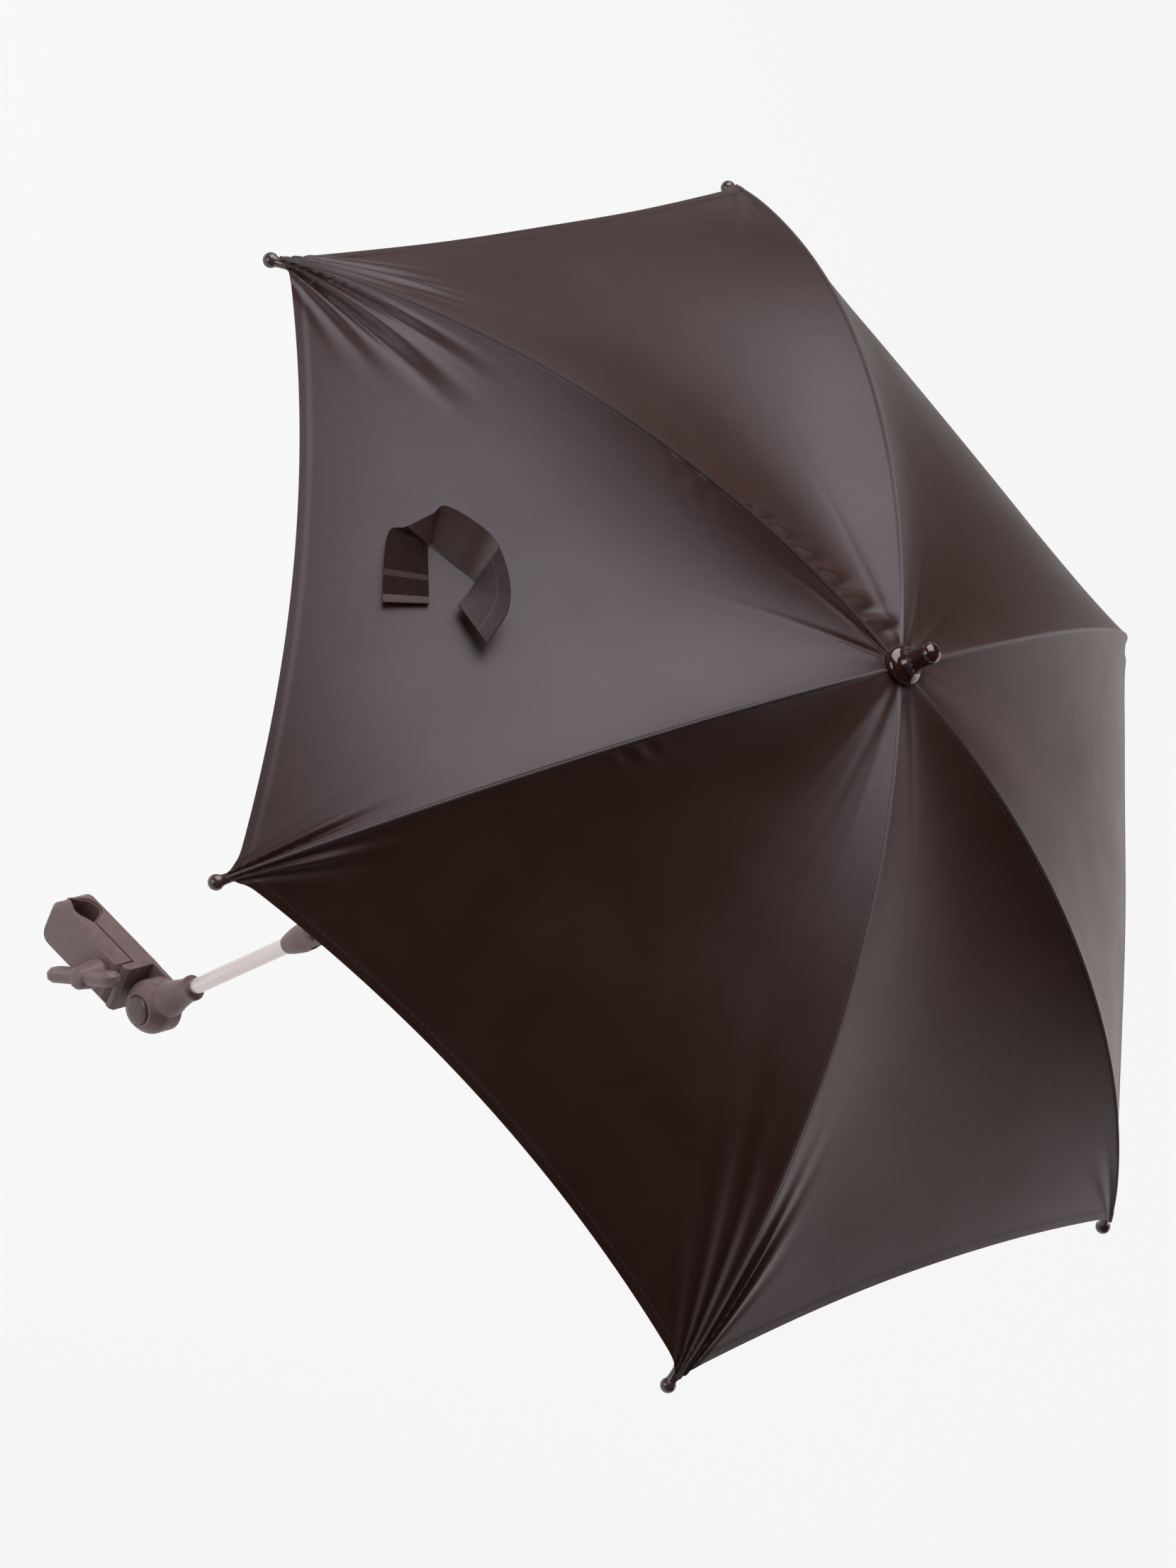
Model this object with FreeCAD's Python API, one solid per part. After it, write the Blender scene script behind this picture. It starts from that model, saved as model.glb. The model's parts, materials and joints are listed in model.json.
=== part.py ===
"""Clip-on pram parasol: a six-rib folding canopy on a tilting shaft, with a swivel and a screw clamp.

Millimetres, +Z up along the shaft. The origin is the middle of the clamp's tube seat. Three groups of
pieces are drawn about their own reference point and then moved: the clamp about the tube seat, the swivel
about its axle, and everything from the tilt joint to the finial about the shaft at the level of the rib tips.
"""

import FreeCAD, Part
import math
import os
from FreeCAD import Vector as V

os.makedirs("parts", exist_ok=True)

# Canopy and ribs
RIB_COUNT = 6
FIRST_RIB_AZIMUTH = 210.0
TIP_RADIUS = 340.0
CANOPY_RISE = 145.0
BEND_START = 17.0
HEM_INSET = 5.0
HEM_PULL_IN = 9.0
HEM_LIFT = 14.0
PANEL_SAG = 17.0
PANEL_SAG_LEAN = 25.0
CLOTH = 0.8
GORE_GAP = 0.5
CROWN_HOLE = 7.0
GORE_STATIONS = 11
GORE_POINTS = 4

RIB_WIDTH = 3.6
RIB_DEPTH = 4.0
CHANNEL_WALL = 0.6
RIB_UNDER_CLOTH = 1.6
EYE_RADIUS = 2.2
EYE_THICKNESS = 1.6
EYE_REACH = 13.0
CHANNEL_FROM_PIVOT = 7.5
TENON_RADIUS = 1.2
TENON_LENGTH = 9.0
TIP_BALL_RADIUS = 4.0
TIP_SLEEVE_RADIUS = 2.6
RIVET_RADIUS = 0.7
RIVET_HEAD_RADIUS = 1.3
RIVET_HEAD = 0.6
RIB_BENDS = 13
PEG_SIDES = 10
BALL_BANDS = 5
BALL_SIDES = PEG_SIDES
EYE_BANDS = 5

# Folding linkage: equal arms from crown to stretcher rivet and from rivet to runner
PIVOT_RADIUS = 9.0
STRETCHER_JOINT_RADIUS = 160.0
JOINT_ABOVE_CHANNEL_EDGE = 1.4
STRETCHER_WIDTH = 3.2
STRETCHER_DEPTH = 3.0
STRETCHER_EYE_RADIUS = 1.6
STRETCHER_CHANNEL_INSET = 13.0
RING_WIRE = 0.6
RING_CLEARANCE = 0.15
PIN_CLEARANCE = 0.05
SLIDE_CLEARANCE = 0.1
SLOT_CLEARANCE = 0.3
NOTCH_ROOT = 6.4
CROWN_FLANGE_RADIUS = 11.6
CROWN_BELOW_PIVOT = 2.8
CROWN_ABOVE_PIVOT = 2.6
CROWN_COLLAR = 10.0
RUNNER_FLANGE_RADIUS = 12.0
RUNNER_BELOW_PIVOT = 4.5
RUNNER_ABOVE_PIVOT = 3.5
RUNNER_SLEEVE_RADIUS = 7.6
RUNNER_SLEEVE = 26.0
RUNNER_LIP_RADIUS = 9.4
RUNNER_LIP = 4.0
HUB_SIDES = 20

# Shaft
TUBE_RADIUS = 4.5
TUBE_WALL = 0.8
SWIVEL_TO_TIPS = 468.5
TUBE_INTO_CAP = 8.0
CATCH_REACH = 2.2
CATCH_WIDTH = 2.0
CATCH_THICKNESS = 0.8
CATCH_HEIGHT = 26.0
CATCH_WEDGE = 11.0
CATCH_FOOT = 5.0
CATCH_GAP = 0.3

# Finial cap
CAP_SKIRT_RADIUS = 10.5
CAP_SKIRT = 2.0
CAP_HEIGHT = 28.0
CAP_NUB_RADIUS = 4.9
CAP_SHOULDER = 12.0
CAP_GAP = 0.3
CAP_SIDES = 28

# Tilt joint
TILT_BELOW_TIPS = 318.0
KNUCKLE_RADIUS = 8.2
KNUCKLE_END_RADIUS = 5.3
KNUCKLE_TAPER = 16.0
KNUCKLE_BODY = 3.0
KNUCKLE_CLEARANCE = 0.6
TONGUE = 5.8
TONGUE_CLEARANCE = 0.3
TILT_PIN_RADIUS = 2.5
TUBE_SEAT = 12.0
TILT_BUTTON_RADIUS = 4.0
TILT_BUTTON_RECESS = 4.0
TILT_BUTTON_PROUD = 2.0
TILT_BUTTON_TRAVEL = 1.5
TILT_PIN_SHY = 0.6
KNUCKLE_SIDES = 24

# Swivel
DISC_RADIUS = 15.6
DISC_BACK = 7.0
DISC_RIM = 10.5
DISC_FRONT_RADIUS = 10.2
DISC_DOME = 9.0
SOCKET_ROOT_RADIUS = 10.5
SOCKET_MOUTH_RADIUS = 6.8
SOCKET_RIM_RADIUS = 7.4
SOCKET_RIM = 2.5
SOCKET_REACH = 37.0
SOCKET_FLOOR = 14.0
BUTTON_RADIUS = 8.3
BUTTON_CLEARANCE = 0.3
BUTTON_RECESS = 8.0
BUTTON_SKIRT = 4.4
BUTTON_DOME = 2.4
BUTTON_TRAVEL = 3.0
AXLE_RADIUS = 3.0
AXLE_FLANGE_RADIUS = 5.2
AXLE_FLANGE = 1.4
AXLE_HEAD_RADIUS = 5.5
AXLE_HEAD = 2.4
SPRING_WIRE = 0.25
SPRING_NEST = 0.55
SPRING_PRESSED = 0.45
SPRING_SIDES = 5
SPRING_STEPS = 10
BUTTON_SIDES = 20
DISC_SIDES = 28

# Clamp, drawn with X along the bar from the tube seat to the swivel, Y to the back, Z across the bar
BAR_PITCH = 34.0
SEAT_TO_SWIVEL = 70.0
SEAT_BEHIND_SHAFT = 0.0
BAR_WIDTH = 30.0
SEAT_RADIUS = 7.5
SEAT_HALF_ANGLE = 62.0
SEAT_MOUTH = 10.5
SEAT_FACE = -3.1
PAD = 1.4
PAD_LENGTH = 28.0
BAR_OUTER_END = -15.5
BAR_BACK = 12.4
BAR_CORNER = 9.0
BAR_INNER_END = 52.0
BAR_INNER_SLOPE = 6.0
WEB_START = 47.5
WEB_THICKNESS = 5.2
WEB_FRONT = -12.6
EAR_RADIUS = 10.5
EAR_SHOULDER = 5.0
EAR_THICKNESS = 4.7
EAR_GAP = 0.3
EDGE_ROUND = 2.0
JAW_GAP = 1.0
JAW_THICKNESS = 10.0
JAW_OUTER_END = -14.5
JAW_INNER_GAP = 1.0
JAW_CORNER = 8.0
JAW_EDGE = 2.4
JAW_SEAT_RADIUS = 7.9
JAW_SEAT_HALF_ANGLE = 40.0
JAW_SEAT_MOUTH = 10.5
SCREW_AT = 36.0
SCREW_RADIUS = 3.0
SCREW_CLEARANCE = 0.3
SCREW_TIP_INSET = 0.7
SCREW_IN_KNOB = 9.0
NUT_FLATS = 10.0
NUT_THICKNESS = 5.0
NUT_CLEARANCE = 0.1
GUIDE_AT = 22.0
GUIDE_RADIUS = 2.0
GUIDE_IN_JAW = 6.0
GUIDE_IN_BAR = 13.4
KNOB_GAP = 0.2
HUB_BASE_RADIUS = 8.5
HUB_TOP_RADIUS = 6.5
HUB_HEIGHT = 19.0
WING_REACH = 28.0
WING_HEIGHT = 13.0
WING_LIFT = 5.0
WING_THICKNESS = 8.0
WING_ROOT_HEIGHT = 11.0
WING_TURN = 36.0
WING_TIP_BANDS = 6

# Tie strap in the middle of one panel, by pairs of edge points from one end to the other:
# towards the crown, towards the first rib, and off the cloth
STRAP_INSET = 71.0
STRAP_ASIDE = -4.0
STRAP_THICKNESS = 1.0
STRAP_LIFT = 0.0
STRAP_STATIONS = [
    ((-32.4, -28.0, 1.5), (-10.0, -25.5, 1.5)),
    ((-32.4, 9.0, 0.6), (-12.5, 5.0, 0.6)),
    ((-20.0, 17.0, 8.0), (-12.0, 8.0, 0.6)),
    ((-7.5, 20.5, 17.0), (-8.5, 6.0, 0.6)),
    ((6.5, 14.0, 18.0), (2.0, -1.5, 0.6)),
    ((18.0, 5.0, 17.0), (11.5, -8.0, 0.6)),
    ((25.5, -12.0, 15.5), (11.0, -12.5, 2.5)),
    ((26.5, -29.5, 14.0), (7.0, -20.0, 4.5)),
    ((18.0, -46.5, 10.0), (3.5, -26.0, 6.5)),
]

X_AXIS = V(1, 0, 0)
Y_AXIS = V(0, 1, 0)
Z_AXIS = V(0, 0, 1)
ORIGIN = V(0, 0, 0)


def outline(*steps):
    """Closed wire from points; a step that is a pair of points is an arc through the first to the second."""
    first = V(*steps[0])
    at = first
    edges = []
    for step in steps[1:]:
        if isinstance(step[0], tuple):
            end = V(*step[1])
            edges.append(Part.Arc(at, V(*step[0]), end).toShape())
        else:
            end = V(*step)
            edges.append(Part.LineSegment(at, end).toShape())
        at = end
    if at.distanceToPoint(first) > 1e-6:
        edges.append(Part.LineSegment(at, first).toShape())
    return Part.Wire(edges)


def prism(wire, path):
    """Solid made by pushing a flat outline along a vector."""
    return Part.Face(wire).extrude(path)


def lathe(wire, base=ORIGIN, axis=Z_AXIS):
    """Solid of revolution of an outline drawn in the XZ plane about Z, stood on base along axis."""
    solid = Part.Face(wire).revolve(ORIGIN, Z_AXIS, 360)
    solid.Placement = FreeCAD.Placement(base, FreeCAD.Rotation(Z_AXIS, axis))
    return solid


def polyhedron(faces):
    """Solid enclosed by flat faces, each a list of corners."""
    shell = Part.makeShell([Part.Face(Part.makePolygon(list(f) + [f[0]])) for f in faces])
    shell.sewShape()
    solid = Part.Solid(shell)
    if solid.Volume < 0:
        solid.reverse()
    return solid


def facet_lathe(profile, sides, base=ORIGIN, axis=Z_AXIS):
    """Solid of revolution in flat facets: profile is a closed list of (radius, height)."""
    turns = [2 * math.pi * i / sides for i in range(sides + 1)]
    faces = []
    for (r, h), (q, k) in zip(profile, profile[1:] + profile[:1]):
        for a, b in zip(turns, turns[1:]):
            corners = [
                V(r * math.cos(a), r * math.sin(a), h),
                V(r * math.cos(b), r * math.sin(b), h),
                V(q * math.cos(b), q * math.sin(b), k),
                V(q * math.cos(a), q * math.sin(a), k),
            ]
            if r == 0:
                corners.pop(1)
            elif q == 0:
                corners.pop(2)
            if r > 0 or q > 0:
                faces.append(corners)
    solid = polyhedron(faces).removeSplitter()
    solid.Placement = FreeCAD.Placement(base, FreeCAD.Rotation(Z_AXIS, axis))
    return solid


def curve(start, bend, end, bands):
    """Points after start of a curve to end, drawn towards bend, in a few straight bands."""
    points = []
    for i in range(1, bands + 1):
        t = i / bands
        points.append(
            tuple((1 - t) ** 2 * a + 2 * t * (1 - t) * b + t**2 * c for a, b, c in zip(start, bend, end))
        )
    return points


def ring(inner, outer, low, high, base=ORIGIN, axis=Z_AXIS):
    """Plain tube between two radii and two heights."""
    return lathe(outline((inner, 0, low), (outer, 0, low), (outer, 0, high), (inner, 0, high)), base, axis)


def rod(radius, start, end):
    """Round bar between two points."""
    return Part.makeCylinder(radius, (end - start).Length, start, end - start)


def peg(radius, start, end, sides):
    """Bar between two points with flat sides and its corners on the radius."""
    turns = [2 * math.pi * i / sides for i in range(sides)]
    base = outline(*[(radius * math.cos(a), radius * math.sin(a), 0) for a in turns])
    bar = prism(base, V(0, 0, (end - start).Length))
    bar.Placement = FreeCAD.Placement(start, FreeCAD.Rotation(Z_AXIS, end - start))
    return bar


def peg_hole(radius, start, end, sides):
    """Space with flat sides that clears a round bar of the radius."""
    return peg(radius / math.cos(math.pi / sides), start, end, sides)


def arc_points(centre, radius, first, last, bands):
    """Points along an arc in the XZ plane, by angle from +X towards +Z."""
    turns = [math.radians(first + (last - first) * i / bands) for i in range(bands + 1)]
    return [(centre.x + radius * math.cos(a), centre.z + radius * math.sin(a)) for a in turns]


def plate(points, thickness):
    """Flat plate across Y from (x, z) points."""
    return prism(outline(*[(x, -thickness / 2, z) for x, z in points]), V(0, thickness, 0))


def block(low, high):
    """Box between two corners."""
    return Part.makeBox(high.x - low.x, high.y - low.y, high.z - low.z, low)


def fuse(first, *others):
    """One solid from pieces that share volume."""
    return first.fuse(list(others)).removeSplitter()


def rounded(solid, radius, chosen):
    """Fillet the edges that chosen picks."""
    edges = [edge for edge in solid.Edges if chosen(edge)]
    return solid.makeFillet(radius, edges)


def turned(shape, degrees, axis, centre=ORIGIN):
    """A copy turned about an axis."""
    copy = shape.copy()
    copy.rotate(centre, axis, degrees)
    return copy


def moved(shape, offset):
    """A copy shifted by a vector."""
    copy = shape.copy()
    copy.translate(offset)
    return copy


# Reference points
bar_direction = V(math.cos(math.radians(BAR_PITCH)), 0, math.sin(math.radians(BAR_PITCH)))
swivel_centre = bar_direction * SEAT_TO_SWIVEL + V(0, -SEAT_BEHIND_SHAFT, 0)
tip_plane = swivel_centre + V(0, 0, SWIVEL_TO_TIPS)


def in_clamp(shape):
    """From the clamp's own axes to the parasol's."""
    return turned(shape, -BAR_PITCH, Y_AXIS)


def at_swivel(shape):
    """From the swivel's axle to its place."""
    return moved(shape, swivel_centre)


def at_tips(shape):
    """From the shaft at tip level to its place."""
    return moved(shape, tip_plane)


def rib_turn(number):
    """Azimuth of a rib in degrees."""
    return FIRST_RIB_AZIMUTH - 360.0 / RIB_COUNT * (number - 1)


def at_rib(shape, number):
    """From the plane of a rib drawn along +X to the place of that rib."""
    return at_tips(turned(shape, rib_turn(number), Z_AXIS))


# The rib's bend: level at BEND_START, down to the tip, one arc
bend_run = TIP_RADIUS - BEND_START
bend_radius = (bend_run**2 + CANOPY_RISE**2) / (2 * CANOPY_RISE)
bend_centre = V(BEND_START, 0, CANOPY_RISE - bend_radius)
bend_sweep = math.degrees(math.asin(bend_run / bend_radius))

rib_top = bend_radius - CLOTH - RIB_UNDER_CLOTH
rib_middle = rib_top - RIB_DEPTH / 2
rib_edge = rib_top - RIB_DEPTH
channel_inner = RIB_WIDTH - 2 * CHANNEL_WALL


def bend_point(radius_of_arc, degrees):
    """Point of an arc about the bend's centre, measured from straight up."""
    angle = math.radians(degrees)
    return bend_centre + V(math.sin(angle), 0, math.cos(angle)) * radius_of_arc


# Pivots of the folding linkage in the plane of one rib
crown_pivot = V(PIVOT_RADIUS, 0, bend_centre.z + rib_middle)
joint_arc = rib_edge + JOINT_ABOVE_CHANNEL_EDGE
joint_run = STRETCHER_JOINT_RADIUS - BEND_START
joint_turn = math.degrees(math.asin(joint_run / joint_arc))
stretcher_pivot = bend_point(joint_arc, joint_turn)
runner_pivot = V(PIVOT_RADIUS, 0, 2 * stretcher_pivot.z - crown_pivot.z)
arm = (stretcher_pivot - runner_pivot).Length
channel_start = math.degrees(
    math.asin((PIVOT_RADIUS + CHANNEL_FROM_PIVOT - BEND_START) / rib_middle)
)
tip_sleeve = TENON_LENGTH
channel_sweep = bend_sweep - channel_start - math.degrees(tip_sleeve / rib_middle)


def channel_profile(width, depth, wall, x, top):
    """Outline of a channel open at the bottom, in a plane across X."""
    half = width / 2
    inner = half - wall
    low = top - depth
    return outline(
        (x, -half, low),
        (x, -half, top),
        (x, half, top),
        (x, half, low),
        (x, inner, low),
        (x, inner, top - wall),
        (x, -inner, top - wall),
        (x, -inner, low),
    )


def rib():
    """Bent channel with an eye at the crown, a rivet hole for the stretcher and a tenon for the ball."""
    end_turn = channel_start + channel_sweep
    turns = [channel_start + channel_sweep * i / RIB_BENDS for i in range(RIB_BENDS + 1)]

    def strip(low, high, width):
        side = [bend_point(high, t) for t in turns] + [bend_point(low, t) for t in reversed(turns)]
        points = [(q.x, -width / 2, q.z) for q in side]
        return prism(outline(*points), V(0, width, 0))

    channel = strip(rib_edge, rib_top, RIB_WIDTH)
    channel = channel.cut(strip(rib_edge - RIB_DEPTH, rib_top - CHANNEL_WALL, channel_inner))

    across = Y_AXIS * RIB_WIDTH
    top = RIB_DEPTH / 2 - CHANNEL_WALL / 2
    low = EYE_RADIUS * 0.75
    first = math.degrees(math.asin(top / EYE_RADIUS))
    last = 360 - math.degrees(math.asin(low / EYE_RADIUS))
    reach = crown_pivot.x + EYE_REACH
    eye = arc_points(crown_pivot, EYE_RADIUS, first, last, EYE_BANDS)
    eye = plate(eye + [(reach, crown_pivot.z - low), (reach, crown_pivot.z + top)], EYE_THICKNESS)
    eye = eye.cut(peg_hole(RING_WIRE + RING_CLEARANCE, crown_pivot - across, crown_pivot + across, PEG_SIDES))

    plug_low = rib_edge - bend_radius
    plug_top = rib_top - CHANNEL_WALL / 2 - bend_radius
    plug = block(V(-tip_sleeve / 2, -channel_inner / 2, plug_low), V(0, channel_inner / 2, plug_top))
    plug_middle = V(0, 0, rib_middle - bend_radius)
    end = plug.fuse(peg(TENON_RADIUS, plug_middle - X_AXIS, plug_middle + X_AXIS * tip_sleeve, PEG_SIDES))
    end.translate(bend_centre + V(0, 0, bend_radius))
    end.rotate(bend_centre, Y_AXIS, end_turn)

    rivet_hole = peg(RIVET_RADIUS, stretcher_pivot - across, stretcher_pivot + across, PEG_SIDES)
    return fuse(channel, eye, end).cut(rivet_hole)


def rib_tip():
    """Moulded ball with a short sleeve that is pushed over the rib's tenon."""
    reach = tip_sleeve + TIP_BALL_RADIUS * 0.6
    join = math.asin(TIP_SLEEVE_RADIUS / TIP_BALL_RADIUS)
    turns = [join + (math.pi - join) * i / BALL_BANDS for i in range(BALL_BANDS)]
    ball = [(TIP_BALL_RADIUS * math.sin(a), reach - TIP_BALL_RADIUS * math.cos(a)) for a in turns]
    profile = [(TENON_RADIUS, 0), (TIP_SLEEVE_RADIUS, 0)] + ball
    profile += [(0, reach + TIP_BALL_RADIUS), (0, tip_sleeve), (TENON_RADIUS, tip_sleeve)]
    tip = facet_lathe(profile, BALL_SIDES)
    tip.Placement = FreeCAD.Placement(
        bend_centre + V(0, 0, rib_middle), FreeCAD.Rotation(Z_AXIS, X_AXIS)
    )
    return turned(tip, channel_start + channel_sweep, Y_AXIS, bend_centre)


def rib_rivet():
    """Flat-headed rivet through the channel walls and the stretcher's eye."""
    half = RIB_WIDTH / 2
    head = half + RIVET_HEAD
    profile = [
        (0, -head),
        (RIVET_HEAD_RADIUS * 0.7, -head),
        (RIVET_HEAD_RADIUS, -half),
        (RIVET_RADIUS, -half),
        (RIVET_RADIUS, half),
        (RIVET_HEAD_RADIUS, half),
        (RIVET_HEAD_RADIUS * 0.7, head),
        (0, head),
    ]
    return facet_lathe(profile, PEG_SIDES, stretcher_pivot, Y_AXIS)


def stretcher():
    """Short channel between two eyes: one in the rib's channel, one on the runner's ring."""
    eye = STRETCHER_EYE_RADIUS
    inset = STRETCHER_CHANNEL_INSET
    web = STRETCHER_DEPTH / 2 - CHANNEL_WALL / 2
    low = -eye * 0.7
    channel = Part.Face(
        channel_profile(STRETCHER_WIDTH, STRETCHER_DEPTH, CHANNEL_WALL, inset, STRETCHER_DEPTH / 2)
    ).extrude(V(arm - 2 * inset, 0, 0))
    far = X_AXIS * arm
    inner = arc_points(ORIGIN, EYE_RADIUS, 80, 280, EYE_BANDS) + [(inset, low), (2 * inset, web)]
    inner = plate(inner + [(inset, web)], EYE_THICKNESS)
    outer = arc_points(far, eye, -100, 100, EYE_BANDS) + [(arm - inset, web), (arm - 2 * inset, web)]
    outer = plate(outer + [(arm - inset, low)], EYE_THICKNESS)
    across = Y_AXIS * STRETCHER_WIDTH
    ring_hole = peg_hole(RING_WIRE + RING_CLEARANCE, ORIGIN - across, across, PEG_SIDES)
    rivet_hole = peg_hole(RIVET_RADIUS + PIN_CLEARANCE, far - across, far + across, PEG_SIDES)
    link = fuse(channel, inner, outer).cut([ring_hole, rivet_hole])
    rise = math.degrees(math.asin((stretcher_pivot.z - runner_pivot.z) / arm))
    return moved(turned(link, -rise, Y_AXIS), runner_pivot)


def linkage_ring(pivot):
    """Wire bent to a polygon, with one straight side for each eye to turn on."""
    half = math.radians(180.0 / RIB_COUNT)
    side = PIVOT_RADIUS + 2 * RING_WIRE
    wedge = prism(
        outline((0, 0, -side), (side, -side * math.tan(half), -side), (side, side * math.tan(half), -side)),
        V(0, 0, 2 * side),
    )
    wire = peg(RING_WIRE, V(PIVOT_RADIUS, -side, 0), V(PIVOT_RADIUS, side, 0), PEG_SIDES).common(wedge)
    sides = [turned(wire, rib_turn(n), Z_AXIS) for n in range(1, RIB_COUNT + 1)]
    return moved(fuse(*sides), V(0, 0, pivot.z))


def notched(hub, pivot, flange_radius):
    """Cut the eye slots and the wire groove into a hub."""
    half = EYE_THICKNESS / 2 + SLOT_CLEARANCE
    reach = flange_radius * 1.2
    low = pivot.z - RUNNER_BELOW_PIVOT
    slot = block(V(NOTCH_ROOT, -half, low), V(reach, half, low + reach))
    slots = [turned(slot, rib_turn(n), Z_AXIS) for n in range(1, RIB_COUNT + 1)]
    groove = RING_WIRE + RING_CLEARANCE
    inner = PIVOT_RADIUS - groove
    wire_path = facet_lathe(
        [
            (inner, pivot.z - groove),
            (reach, pivot.z - groove),
            (reach, pivot.z + groove),
            (inner, pivot.z + groove),
        ],
        HUB_SIDES,
    )
    return hub.cut(slots + [wire_path])


crown_low = crown_pivot.z - CROWN_BELOW_PIVOT
crown_top = crown_pivot.z + CROWN_ABOVE_PIVOT
cap_base = CANOPY_RISE + CAP_GAP
tube_top = cap_base + TUBE_INTO_CAP


def crown():
    """Top notch on the shaft: six slots for the rib eyes and a groove for their ring."""
    low = crown_low - CROWN_COLLAR
    profile = [
        (0, low),
        (NOTCH_ROOT - 0.6, low),
        (NOTCH_ROOT - 0.1, low + 1),
        (NOTCH_ROOT - 0.1, crown_low),
        (CROWN_FLANGE_RADIUS, crown_low),
        (CROWN_FLANGE_RADIUS, crown_top),
        (0, crown_top),
    ]
    hub = facet_lathe(profile, HUB_SIDES).cut(rod(TUBE_RADIUS, V(0, 0, low - 1), V(0, 0, crown_top + 1)))
    return notched(hub, crown_pivot, CROWN_FLANGE_RADIUS)


runner_low = runner_pivot.z - RUNNER_BELOW_PIVOT
runner_bottom = runner_low - RUNNER_SLEEVE - RUNNER_LIP


def runner():
    """Sliding notch with a long sleeve and a finger lip."""
    bore = TUBE_RADIUS + SLIDE_CLEARANCE
    low = runner_bottom
    top = runner_pivot.z + RUNNER_ABOVE_PIVOT
    profile = [
        (0, low),
        (RUNNER_SLEEVE_RADIUS, low),
        (RUNNER_LIP_RADIUS, low + RUNNER_LIP * 0.3),
        (RUNNER_LIP_RADIUS, low + RUNNER_LIP * 0.7),
        (RUNNER_SLEEVE_RADIUS, low + RUNNER_LIP),
        (RUNNER_SLEEVE_RADIUS, runner_low - RUNNER_LIP),
        (RUNNER_FLANGE_RADIUS, runner_low),
        (RUNNER_FLANGE_RADIUS, top),
        (0, top),
    ]
    hub = facet_lathe(profile, HUB_SIDES).cut(rod(bore, V(0, 0, low - 1), V(0, 0, top + 1)))
    return notched(hub, runner_pivot, RUNNER_FLANGE_RADIUS)


def finial_cap():
    """Bell-shaped cap that closes the canopy's crown, drawn out to a rounded nub."""
    skirt = (CAP_SKIRT_RADIUS, cap_base + CAP_SKIRT)
    shoulder = (CAP_NUB_RADIUS, cap_base + CAP_SHOULDER)
    hollow = (CAP_NUB_RADIUS + 0.6, cap_base + CAP_SKIRT + 2.0)
    top = cap_base + CAP_HEIGHT
    dome = (CAP_NUB_RADIUS, top - CAP_NUB_RADIUS * 0.8)
    profile = [(0, cap_base), (CAP_SKIRT_RADIUS, cap_base), skirt]
    profile += curve(skirt, hollow, shoulder, 4)
    profile += [dome] + curve(dome, (CAP_NUB_RADIUS, top), (0, top), 4)
    cap = facet_lathe(profile, CAP_SIDES)
    return cap.cut(rod(TUBE_RADIUS, V(0, 0, cap_base - 1), V(0, 0, tube_top)))


# Tilt joint, about its pin
tilt_height = -TILT_BELOW_TIPS
knuckle_start = KNUCKLE_RADIUS + KNUCKLE_CLEARANCE
knuckle_end = knuckle_start + KNUCKLE_BODY + KNUCKLE_TAPER
tube_end = knuckle_end - TUBE_SEAT


def knuckle_body():
    """Bullet-shaped collar from the pin outwards along +Z, with a seat for the tube."""
    full = (KNUCKLE_RADIUS, knuckle_start + KNUCKLE_BODY)
    end = (KNUCKLE_END_RADIUS, knuckle_end)
    bend = (KNUCKLE_RADIUS, knuckle_end - KNUCKLE_TAPER * 0.6)
    profile = [(0, 0), (KNUCKLE_RADIUS, 0), full] + curve(full, bend, end, 4) + [(0, knuckle_end)]
    body = facet_lathe(profile, KNUCKLE_SIDES)
    return body.cut(rod(TUBE_RADIUS, V(0, 0, tube_end), V(0, 0, knuckle_end + 1)))


def across_pin(radius, half_width):
    """Bar with flat sides along the pin's axis."""
    return peg(radius, V(0, -half_width, 0), V(0, half_width, 0), KNUCKLE_SIDES)


def tilt_lower():
    """Fork half of the tilt joint, pointing down, with a recess for its button."""
    half_slot = TONGUE / 2 + TONGUE_CLEARANCE
    wide = KNUCKLE_RADIUS * 2
    column = facet_lathe(
        [(0, -KNUCKLE_RADIUS), (KNUCKLE_RADIUS, -KNUCKLE_RADIUS), (KNUCKLE_RADIUS, 0), (0, 0)],
        KNUCKLE_SIDES,
    )
    ears = column.common(across_pin(KNUCKLE_RADIUS, KNUCKLE_RADIUS))
    body = fuse(knuckle_body(), ears)
    slot = block(V(-wide, -half_slot, -wide), V(wide, half_slot, knuckle_start))
    floor = V(0, TILT_BUTTON_RECESS - KNUCKLE_RADIUS, 0)
    recess = peg_hole(TILT_BUTTON_RADIUS + TONGUE_CLEARANCE, V(0, -wide, 0), floor, BUTTON_SIDES)
    pin_end = V(0, KNUCKLE_RADIUS - TILT_PIN_SHY, 0)
    fork = body.cut([slot, recess, rod(TILT_PIN_RADIUS, floor - Y_AXIS, pin_end)])
    return turned(fork, 180, Y_AXIS)


def tilt_upper():
    """Tongue half of the tilt joint."""
    half = TONGUE / 2
    wide = KNUCKLE_RADIUS * 2
    tongue_radius = KNUCKLE_RADIUS - KNUCKLE_CLEARANCE / 2
    tongue = across_pin(tongue_radius, half)
    neck = block(V(-tongue_radius, -half, 0), V(tongue_radius, half, knuckle_start + 1))
    inside = peg(KNUCKLE_RADIUS, ORIGIN, Z_AXIS * wide, KNUCKLE_SIDES)
    body = knuckle_body().cut(block(V(-wide, -wide, -wide), V(wide, wide, knuckle_start)))
    whole = fuse(body, tongue, neck.common(inside))
    return whole.cut(rod(TILT_PIN_RADIUS + PIN_CLEARANCE, V(0, -wide, 0), V(0, wide, 0)))


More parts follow.
